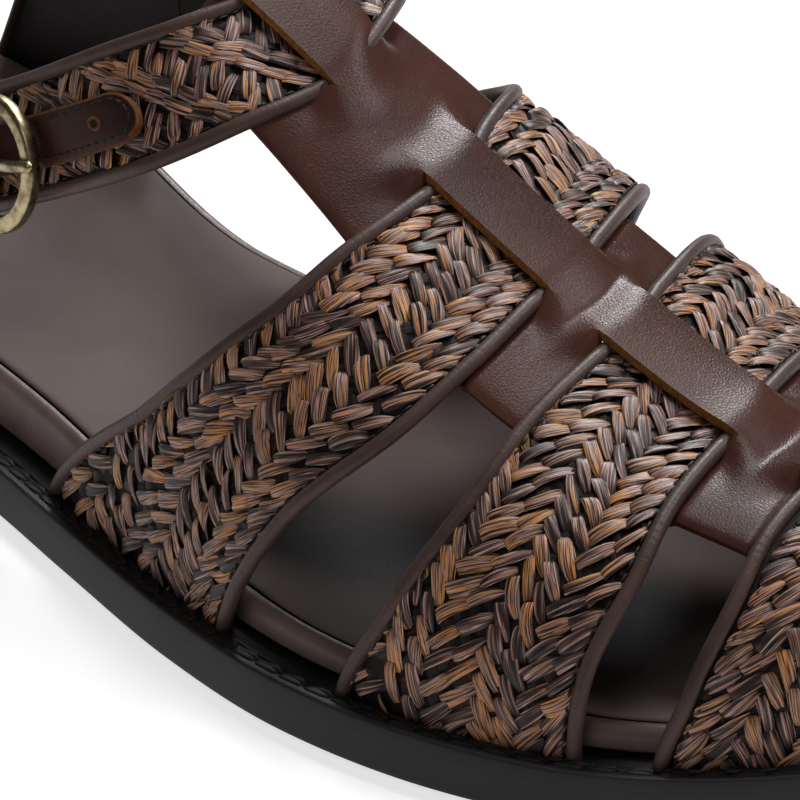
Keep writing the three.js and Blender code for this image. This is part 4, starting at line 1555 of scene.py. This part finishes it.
# Reach of the bar's wings to both sides of the ridge
BAR_EDGES = Table(
    "x lateral medial",
    (157, 12.6, 21),
    (172, 14.3, 23.2),
    (186, 16.3, 24.2),
    (212, 21.4, 26),
    (243, 19.6, 25),
    (258, 18, 24),
    (268, 17, 23),
)

# Edges of the ankle strap along the shoe, by the distance from the ridge
ANKLE_CROSSING = Table(
    "width rear front",
    (-22, 141, 156.5),
    (-12, 149.8, 167),
    (1, 152.5, 169.5),
    (9, 150.5, 165.5),
    (18, 147, 159.5),
    (31, 133, 144),
)


@dataclass
class TBar:
    """Leather bar down the middle: wings under the straps, a strip over them between slits."""

    strip_lateral: float = -1.7
    strip_medial: float = 9.9
    thick: float = 1.4
    low: float = 0.3
    over: float = 2.6
    wing_low: float = -0.6
    dive: float = 0.9
    tent_near: float = 2.4
    tent_far: float = 6.0
    crown: float = 0.3
    start: float = 149.0
    wing_start: float = 150.5
    wing_end: float = 266.0
    step: float = 0.55
    toe_height: float = 1.7
    rise_before: float = 7.5
    rise_past: float = 1.5
    sink_before: float = 0.4
    sink_length: float = 1.2
    slit_before: float = 0.5
    slit_past: float = 0.6
    hole_radius: float = 0.9
    ankle_over: float = 1.8
    ankle_before: float = 5.0
    ankle_rise: float = 6.0
    tuck: float = 1.4
    tuck_length: float = 2.5
    bevel: float = 0.35

    def depths(self, x: Array, width: Array, share: Array) -> Array:
        """How far places lie inside each strap, below 0 outside it.

        Args:
            x: Places along the shoe.
            width: Distances from the ridge.
            share: Shares round the last.

        Returns:
            Depths, strap by strap.
        """
        edges = [[ANKLE_CROSSING.read(edge, "width", width) for edge in ("rear", "front")]]
        for pair in (("rear2", "front2"), ("rear3", "front3")):
            edges.append([STRAP_EDGES.read(edge, "share", share) for edge in pair])
        edges.append((LAST.cap_rear(share), np.full_like(share, 2 * LAST.length)))
        return np.array([np.minimum(x - rear, front - x) for rear, front in edges])

    def heights(self, x: Array, width: Array) -> tuple[Array, Array, Array]:
        """Heights of the strip and the wings over the last.

        Args:
            x: Places along the shoe.
            width: Distances from the ridge.

        Returns:
            Heights of the strip, heights of the wings, and depth inside the nearest strap.
        """
        _, share = LAST.beside_ridge(x, width, np.zeros_like(x))
        depths = self.depths(x, width, share)
        inside = depths.max(axis=0)
        lift = smooth((inside + self.rise_before) / (self.rise_before + self.rise_past))
        past = np.maximum(np.maximum(self.strip_lateral - width, width - self.strip_medial), 0)
        reach = mix(self.tent_near, self.tent_far, smooth(-inside / self.rise_before))
        near = np.exp(-((past / reach) ** 2))
        sunk = smooth((inside + self.sink_before) / self.sink_length)
        inwards = smooth((width - self.strip_lateral) / (self.strip_medial - self.strip_lateral))
        ankle = self.ankle_over * smooth((depths[0] + self.ankle_before) / self.ankle_rise)
        strip = mix(self.low, self.over, lift) + ankle * inwards
        wing = mix(self.wing_low, strip, near * (1 - sunk)) - self.dive * sunk
        return strip, wing, inside

    def strip_points(self, x: Array, across: Array, drop: float) -> Array:
        """Points of the strip from the ankle strap over the straps and the toe cap to the tip.

        Args:
            x: Places along the shoe up to the cap.
            across: Shares of the way across the strip.
            drop: Depth under its face.

        Returns:
            Grid of points.
        """
        width = mix(self.strip_lateral, self.strip_medial, across)
        grid_x, grid_width = np.meshgrid(x, width, indexing="ij")
        arch = self.crown * (1 - (2 * across - 1) ** 2)
        height, _, _ = self.heights(grid_x, grid_width)
        tuck = self.tuck * (1 - smooth((grid_x - self.start) / self.tuck_length))
        body, _ = LAST.beside_ridge(grid_x, grid_width, drop - height - arch + tuck)
        cap, cap_width = np.meshgrid(np.linspace(1, 0, 60)[1:], width, indexing="ij")
        toe = LAST.beside_cap_ridge(cap, cap_width, drop - mix(self.toe_height, self.over, cap) - arch)
        return np.vstack([body, toe])

    def wing_points(self, x: Array, side: Side, outwards: Array, drop: float) -> Array:
        """Points of the wings of one side, which dive under each strap.

        Args:
            x: Places along the shoe.
            side: Side of the foot.
            outwards: Shares of the way from the strip to the wing's edge.
            drop: Depth under its face.

        Returns:
            Grid of points.
        """
        sign, inner = (-1, self.strip_lateral) if side is Side.LATERAL else (1, self.strip_medial)
        outer = sign * BAR_EDGES.read(side.value, "x", x)
        bite = sign * np.sqrt(np.clip(self.hole_radius ** 2 - (self.slit_end() - x) ** 2, 0, None))
        grid_width = mix((inner + bite)[:, None], outer[:, None], outwards[None, :])
        grid_x = np.broadcast_to(x[:, None], grid_width.shape).copy()
        _, height, _ = self.heights(grid_x, grid_width)
        bevel = (self.bevel if drop == 0 else 0.0) * np.clip((outwards - 0.93) / 0.07, 0, 1) ** 2
        points, _ = LAST.beside_ridge(grid_x, grid_width, drop - height + bevel)
        return points

    def slit_end(self) -> float:
        """Place along the shoe of the round hole that ends the slit in front of the ankle strap."""
        front = ANKLE_CROSSING.read("front", "width", np.array([self.strip_lateral]))
        return float(front[0]) + self.slit_before + 0.1

    def build(self) -> None:
        """Builds the bar as one sheet whose wings part from the strip along the slits."""
        crown_x = float(LAST.cap_rear(np.array(0.5)))
        x = np.arange(self.start, crown_x, self.step)
        further = np.arange(x[-1] + self.step, self.wing_end, self.step)
        wing_x = np.concatenate([x[x > self.wing_start], further])
        across, outwards = np.linspace(0, 1, 21), 1 - (1 - np.linspace(0, 1, 17)) ** 1.15
        drops = (0.0, self.thick)
        strip = [self.strip_points(x, across, drop) for drop in drops]
        numbers = np.arange(strip[0].shape[0] * len(across)).reshape(strip[0].shape[:2])
        faces, total = [quads_of(numbers)], numbers.size
        seam = set(numbers[:, 0].tolist()) | set(numbers[:, -1].tolist())
        points = [[face.reshape(-1, 3)] for face in strip]
        first = int(np.argmax(x > self.wing_start))
        for side, column in ((Side.LATERAL, 0), (Side.MEDIAL, -1)):
            own = total + np.arange(len(wing_x) * len(outwards)).reshape(-1, len(outwards))
            width = self.strip_lateral if side is Side.LATERAL else self.strip_medial
            _, _, inside = self.heights(x[first:], np.full(len(x) - first, width))
            joined = np.flatnonzero(inside < -self.slit_before - self.slit_past)
            seam |= set(own[:, 0].tolist())
            total += own.size
            for part, drop in zip(points, drops):
                part.append(self.wing_points(wing_x, side, outwards, drop).reshape(-1, 3))
            own[joined, 0] = numbers[first + joined, column]
            quads = quads_of(own)
            faces.append(quads if side is Side.MEDIAL else quads[:, ::-1])
        self.close(points, np.vstack(faces), seam)

    def close(self, points: list, faces: Array, seam: set) -> None:
        """Gives the sheet its thickness: bar leather on the face and outer edges, a raw cut along the slits.

        Args:
            points: Points of the face and of the back.
            faces: Quads of the face.
            seam: Numbers of the points along the slits.
        """
        face, back = (np.vstack(part) for part in points)
        rim, walls = walls_of(faces, len(face))
        cut = np.array([a in seam and b in seam for a, b in rim.tolist()])
        made = Draft()
        made.add(np.vstack([face, back]), (faces, 0), (faces[:, ::-1] + len(face), 1), (walls[cut], 2),
                 (walls[~cut], 0))
        made.make("t_bar", [Finish.BAR, Finish.LINING, Finish.RAW_EDGE], "strap_leather", "upper",
                  sharp_deg=50)


@dataclass
class HeelQuarter:
    """Leather heel strap and the two legs that carry it, with piped edges."""

    wall: float = 2.0
    rear_foot: float = 33.0
    rear_top: float = 48.0
    front_foot: float = 70.0
    front_top: float = 91.0
    top_z: float = 45.0
    lean: float = 1.2
    piping_radius: float = 1.05
    swell: float = 0.35
    seam_pitch: float = 2.6
    seam_stitch: tuple[float, float, float] = (2.0, 0.45, 0.15)
    leg_depth: float = 0.3
    leg_skive: float = 0.9
    leg_piping_depth: float = 0.9

    def leg_point(self, side: Side, rise: Array, share: Array, depth: Array | float) -> Array:
        """Points of one leg.

        Args:
            side: Side of the foot.
            rise: Shares of the way up.
            share: Shares of the way from the rear edge to the front edge.
            depth: Depth inside the outer face.

        Returns:
            Points.
        """
        rear = mix(self.rear_foot, self.rear_top, rise)
        front = mix(self.front_foot, self.front_top, rise)
        x = mix(rear, front, share)
        points = LAST.foot(side, x, np.full_like(x, depth))
        points[..., 1] += (self.lean if side is Side.LATERAL else -self.lean) * rise
        points[..., 2] = mix(LAST.floor(x), self.top_z, rise)
        return points

    def build(self) -> None:
        """Builds the heel strap, the legs and their piping."""
        skin, piping, seam = Draft(), Draft(), Draft()
        size = (120, 10)
        u, v = even_grid(*size)
        band = Sheet(mix(Spline(HEEL_LOW).at(u), Spline(HEEL_TOP).at(u), v[..., None]), outward=-1)
        swell = self.swell * (1 - (2 * v - 1) ** 2)
        thick(skin, band.at(u, v, swell), band.at(u, v, -self.wall), grid_faces(*size), (0, 1, 2))
        run = np.linspace(0, 1, 160)
        # Place of the piping across the band, its height, and the way from it to the stitches
        for edge, height, inwards in ((0.03, -0.25, 0.13), (0.97, -0.6, -0.13)):
            up = band.sample(band.normal, run, np.full_like(run, edge))
            tube(piping, band.at(run, edge, height), up, self.piping_radius)
            centres, way = spaced(band.at(run, edge + inwards, 0.3), self.seam_pitch)
            at = np.linspace(0, 1, len(centres))
            normal = unit(band.sample(band.normal, at, np.full_like(at, edge + inwards)))
            stitches(seam, centres, way, normal, self.seam_stitch)
        leg = (24, 30)
        rise, share = even_grid(*leg)
        skived = self.wall - self.leg_depth - self.leg_skive * rise
        for side in Side:
            thick(skin, self.leg_point(side, rise, share, self.leg_depth),
                  self.leg_point(side, rise, share, skived), grid_faces(*leg), (0, 1, 2))
            # The piping of the rear edge and of the front edge ends below the straps
            for edge, end in ((0.0, 0.8), (1.0, 0.9)):
                up_way = np.linspace(0, end, 60)
                line = self.leg_point(side, up_way, np.full_like(up_way, edge), self.leg_piping_depth)
                outward = np.tile([0.0, -1.0 if side is Side.LATERAL else 1.0, 0.0], (len(line), 1))
                tube(piping, line, outward, self.piping_radius)
        skin.make("heel_quarter", [Finish.BAR, Finish.LINING, Finish.PIPING], "strap_leather", "upper")
        piping.make("heel_quarter_piping", [Finish.PIPING], "strap_leather")
        seam.make("heel_quarter_seam", [Finish.THREAD], "strap_leather")


@dataclass
class Buckle:
    """Round buckle on the ankle strap: ring, prong, billet and keeper tab."""

    at_x: float = 125.3
    ring_radius: float = 8.8
    ring_tube: float = 1.35
    ring_height: float = 4.6
    ring_across: float = -2.7
    prong_radius: float = 0.9
    billet_half: float = 4.0
    billet_thick: float = 1.7
    billet_front: float = 28.9
    billet_back: float = -32.0
    billet_seat: float = 1.25
    billet_across: float = -0.7
    billet_turn: float = -0.034
    hole_at: float = 21.8
    hole_radius: float = 0.95
    prong_turn: float = -0.17
    tab_half: float = 4.4
    tab_thick: float = 1.9
    tab_front: float = -5.5
    tab_back: float = -20.0
    gap: float = 0.3
    seam_from: float = 9.0
    seam_inset: float = 1.0
    seam_pitch: float = 1.7
    seam_stitch: tuple[float, float, float] = (1.35, 0.34, 0.12)

    def frames(self, distance: Array) -> tuple[Array, Array, Array, Array]:
        """Frame of the ankle strap at distances from the ring's middle.

        Args:
            distance: Distances along the strap.

        Returns:
            Middle points, directions along, across and off the strap.
        """
        top, low = Spline(ANKLE_TOP), Spline(ANKLE_LOW)
        u = np.linspace(0, 0.5, 1201)
        middle = (top.at(u) + low.at(u)) / 2
        run = run_of(middle)
        ring = np.interp(self.at_x, middle[:, 0], run)
        at = np.interp(ring + distance, run, u)
        step = 1e-3
        places = (np.maximum(at - step, 0), at, at + step)
        behind, centre, ahead = ((top.at(place) + low.at(place)) / 2 for place in places)
        along = unit(ahead - behind)
        across = unit(top.at(at) - low.at(at))
        return centre, along, across, unit(np.cross(along, across))

    def on_strap(self, distance: Array, across: Array, height: Array) -> Array:
        """Points over the ankle strap.

        Args:
            distance: Distances along it from the ring's middle.
            across: Distances up across it.
            height: Heights off it.

        Returns:
            Points.
        """
        distance, across, height = together(distance, across, height)
        centre, _, beside, normal = self.frames(distance)
        return centre + beside * across[..., None] + normal * height[..., None]

    def billet_height(self, distance: Array) -> Array:
        """Height of the billet's underside.

        Args:
            distance: Distances along the strap from the ring's middle.

        Returns:
            Heights: flat under the ring's front, over its rear side, and down again.
        """
        over = self.ring_height + self.ring_tube + self.gap - self.billet_seat
        inside = self.ring_radius - 2 * self.ring_tube
        climb = smooth((inside - distance) / (2 * self.ring_radius - 4 * self.ring_tube))
        down = smooth((distance - self.billet_back) / (self.tab_back - self.billet_back))
        return self.billet_seat + over * climb * down

    @staticmethod
    def circle(count: int) -> Array:
        """Even angles of a whole turn."""
        return np.linspace(0, 2 * np.pi, count + 1)[:-1]

    def ring(self) -> None:
        """Builds the ring and the prong."""
        centre, along, across, normal = (value[0] for value in self.frames(np.array([0.0])))
        third = np.cross(along, normal)
        middle = centre + across * self.ring_across
        turn, angle = self.circle(96), self.circle(20)
        # Square section with well rounded corners
        cos, sin = (np.sign(wave) * np.abs(wave) ** 0.6 for wave in (np.cos(angle), np.sin(angle)))
        section_out, section_up = self.ring_tube * cos, self.ring_tube * 0.85 * sin
        way = np.cos(turn)[:, None] * along + np.sin(turn)[:, None] * third
        points = (middle + way[:, None] * (self.ring_radius + section_out)[None, :, None]
                  + normal * (self.ring_height + section_up)[None, :, None])
        made = Draft()
        made.add(points, (grid_faces(len(turn), len(angle), closed=True, looped=True), 0))
        made.make("buckle_ring_round", [Finish.BRASS], "antique_brass", "buckle_ring")
        rest = self.ring_height + self.ring_tube + self.gap + self.prong_radius
        marks = [(self.ring_tube + self.gap - self.ring_radius, self.ring_height),
                 (0.0, self.ring_height + 0.9), (self.ring_radius - self.ring_tube, rest),
                 (self.ring_radius + 3.3, rest)]
        aim = unit(along + across * self.prong_turn)
        line = Spline([middle + aim * out + normal * up for out, up in marks]).at(np.linspace(0, 1, 40))
        prong = Draft()
        tube(prong, line, np.tile(normal, (len(line), 1)), self.prong_radius, sides=14)
        prong.make("buckle_prong_round", [Finish.BRASS], "antique_brass", "buckle_prong")

    def strip(self, draft: Draft, distance: Array, half: Array, base: Array, depth: float,
              middle: Array | float) -> None:
        """Adds a leather strip along the ankle strap, with a crowned face and a raw edge.

        Args:
            draft: Mesh in the making.
            distance: Distances along the strap.
            half: Half width at each distance.
            base: Height of the underside at each distance.
            depth: Thickness.
            middle: Distance of the strip's middle line across the strap, one or one for each distance.
        """
        side = np.sin(np.linspace(-np.pi / 2, np.pi / 2, 15))
        across = np.broadcast_to(middle, half.shape)[:, None] + half[:, None] * side[None, :]
        run = np.broadcast_to(distance[:, None], across.shape)
        crown = -0.35 * np.abs(side) ** 6
        top = self.on_strap(run, across, base[:, None] + depth + crown[None, :])
        low = self.on_strap(run, across, np.broadcast_to(base[:, None], across.shape))
        row, column = np.divmod(np.arange((len(distance) - 1) * (len(side) - 1)), len(side) - 1)
        tip = distance[row] > distance[-1] - 0.6 * half.max()
        worn = (column > len(side) - 4) | ((column < 2) & tip)
        thick(draft, top, low, grid_faces(len(distance), len(side)), (0, 1, 2), worn)

    def billet_middle(self, distance: Array) -> Array:
        """Distance of the billet's middle line across the strap; it points a little down."""
        return self.billet_across + self.billet_turn * np.maximum(distance, 0)

    def billet(self) -> None:
        """Builds the billet with its stitches and hole, and the keeper tab."""
        bend = np.linspace(0, 1, 120)
        distance = mix(self.billet_back, self.billet_front, 0.5 - 0.5 * np.cos(np.pi * bend))
        r = self.billet_half
        past = np.maximum(0, np.maximum(distance - (self.billet_front - r), self.billet_back + r - distance))
        half = r * np.sqrt(np.clip(1 - (past / r) ** 2, 0.0016, 1))
        leather, tab = Draft(), Draft()
        edged = [Finish.BILLET, Finish.LINING, Finish.BILLET_EDGE]
        self.strip(leather, distance, half, self.billet_height(distance), self.billet_thick,
                   self.billet_middle(distance))
        leather.make("billet_strap", edged, "strap_leather", "buckle_billet", sharp_deg=45)
        reach = np.linspace(self.tab_back, self.tab_front - 1.2, 40)
        self.strip(tab, reach, np.full_like(reach, self.tab_half), np.full_like(reach, self.billet_seat),
                   self.tab_thick, self.ring_across)
        tab.make("keeper_tab", edged, "strap_leather", "buckle_tab", sharp_deg=45)
        self.billet_seam()

    def billet_seam(self) -> None:
        """Builds the stitches round the billet's sewn end, the rim of its hole, and a near-black disc in the
        hole as its painted shade.
        """
        inset = self.billet_half - self.seam_inset
        round_from = self.billet_front - self.billet_half
        straight = np.linspace(self.seam_from, round_from, 40)
        beside = np.full_like(straight, inset)
        arc = np.linspace(np.pi / 2, -np.pi / 2, 30)
        run = np.concatenate([straight, round_from + inset * np.cos(arc), straight[::-1]])
        across = np.concatenate([beside, inset * np.sin(arc), -beside]) + self.billet_middle(run)
        height = self.billet_height(run) + self.billet_thick
        seam = Draft()
        centres, way = spaced(self.on_strap(run, across, height), self.seam_pitch)
        _, _, _, normal = self.frames(np.full(len(centres), 20.0))
        stitches(seam, centres, way, normal, self.seam_stitch)
        turn, angle = self.circle(32), self.circle(12)
        cos, sin = np.cos(turn), np.sin(turn)
        out = self.hole_radius + 0.3 * np.cos(angle)
        level = self.billet_seat + self.billet_thick
        middle = float(self.billet_middle(np.array(self.hole_at)))
        rim = self.on_strap(self.hole_at + cos[:, None] * out, middle + sin[:, None] * out,
                            level + 0.22 * np.sin(angle))
        seam.add(rim, (grid_faces(len(turn), len(angle), closed=True, looped=True), 1))
        # The hole has no opening: a near-black disc over the billet is its painted shade
        rings = np.linspace(0.0, self.hole_radius - 0.12, 4)[:, None]
        painted_hole_shade = self.on_strap(self.hole_at + cos * rings, middle + sin * rings, level + 0.03)
        seam.add(painted_hole_shade, (grid_faces(len(rings), len(turn), closed=True), 2))
        seam.make("billet_seam", [Finish.THREAD, Finish.BILLET_EDGE, Finish.BACKING], "strap_leather")

    def build(self) -> None:
        """Builds every piece of the buckle."""
        self.ring()
        self.billet()


@dataclass
class Studio:
    """White floor, soft light and the camera at the photograph's angle, in millimetres from the heel."""

    image: int = 800
    sensor: float = 36.0
    azimuth_deg: float = 48.69
    elevation_deg: float = 26.05
    pixels_per_mm: float = 7.08
    distance: float = 1300.0
    aim: tuple[float, float, float] = (200.0, 0.0, 30.0)
    aim_pixel: tuple[float, float] = (545.69, 410.06)
    high_watts: float = 17.0
    front_watts: float = 15.0
    fill_watts: float = 2.6
    kicker_watts: float = 22.0
    room_light: float = 0.09
    table_glow: float = 0.68

    def camera(self) -> None:
        """Sets the camera so that the aim falls on its pixel of the image."""
        a, e = math.radians(self.azimuth_deg), math.radians(self.elevation_deg)
        back = np.array([math.sin(a) * math.cos(e), -math.cos(a) * math.cos(e), math.sin(e)])
        right = np.array([math.cos(a), math.sin(a), 0.0])
        up = np.cross(back, right)
        eye = np.array(self.aim) + back * self.distance
        off_x = (self.image / 2 - self.aim_pixel[0]) / self.pixels_per_mm
        off_y = (self.aim_pixel[1] - self.image / 2) / self.pixels_per_mm
        look = unit(-back * self.distance + right * off_x + up * off_y)
        level = unit(np.cross(look, [0.0, 0.0, 1.0]))
        axes = np.column_stack([level, np.cross(level, look), -look])
        data = bpy.data.cameras.new("camera")
        data.sensor_width = self.sensor
        data.lens = self.pixels_per_mm * self.distance * self.sensor / self.image
        data.clip_start, data.clip_end = 0.05, 50.0
        camera = bpy.data.objects.new("camera", data)
        bpy.context.scene.collection.objects.link(camera)
        spot = Matrix.Translation(Vector((eye + HEEL_BACK) * MM))
        camera.matrix_world = spot @ Matrix(axes.tolist()).to_4x4()
        bpy.context.scene.camera = camera

    def light(self, name: str, place_m: tuple, size_m: float, watts: float) -> bpy.types.Object:
        """Adds a square soft light that faces the shoe.

        Args:
            name: Name of the light.
            place_m: Place in metres.
            size_m: Side of the light.
            watts: Power.

        Returns:
            The light.
        """
        data = bpy.data.lights.new(name, "AREA")
        data.size = size_m
        data.energy = watts
        lamp = bpy.data.objects.new(name, data)
        bpy.context.scene.collection.objects.link(lamp)
        lamp.location = place_m
        lamp.rotation_mode = "QUATERNION"
        lamp.rotation_quaternion = (Vector((0.03, 0, 0.03)) - Vector(place_m)).to_track_quat("-Z", "Y")
        return lamp

    def build(self) -> None:
        """Builds the floor, the lights and the camera."""
        mesh = bpy.data.meshes.new("floor")
        half = 6.0
        corners = [(-half, -half, 0), (half, -half, 0), (half, half, 0), (-half, half, 0)]
        mesh.from_pydata(corners, [], [(0, 1, 2, 3)])
        floor = bpy.data.objects.new("floor", mesh)
        floor.location.z = -0.0003
        bpy.context.scene.collection.objects.link(floor)
        white = (1, 1, 1, 1)
        # Opal acrylic of a light table: white of itself, so that the shoe's shadow stays faint
        table = Surface("studio_floor_opal_acrylic")
        mesh.materials.append(table.finish({"Base Color": linear("#bcbcbc"), "Roughness": 0.9,
                                            "Specular IOR Level": 0.0, "Emission Color": white,
                                            "Emission Strength": self.table_glow}))
        world = bpy.data.worlds.new("studio")
        world.use_nodes = True
        tree = world.node_tree
        tree.nodes.clear()
        ground = add_node(tree, "ShaderNodeBackground", {"Color": white, "Strength": self.room_light})
        end = add_node(tree, "ShaderNodeOutputWorld", {"Surface": ground.outputs["Background"]})
        end.is_active_output = True
        bpy.context.scene.world = world
        self.light("high_softbox", (-0.2, 0.5, 1.5), 0.5, self.high_watts)
        self.light("front_softbox", (0.56, 0.96, 1.15), 0.5, self.front_watts)
        self.light("fill", (0.48, -0.8, 1.28), 0.7, self.fill_watts)
        self.light("kicker", (-0.74, 0.94, 1.06), 0.3, self.kicker_watts).visible_diffuse = False
        bpy.context.scene.view_settings.view_transform = "Standard"
        self.camera()


def main() -> None:
    """Builds the sandal piece by piece and notes its size."""
    logging.basicConfig(level=logging.INFO, format="%(message)s")
    for finish in Finish:
        finish.material()
    for assembly in (SoleUnit, Straps, TBar, HeelQuarter, Buckle):
        LOG.info("building %s", assembly.__name__)
        assembly().build()
    Studio().build()
    bpy.context.view_layer.update()


if __name__ == "__main__":
    main()
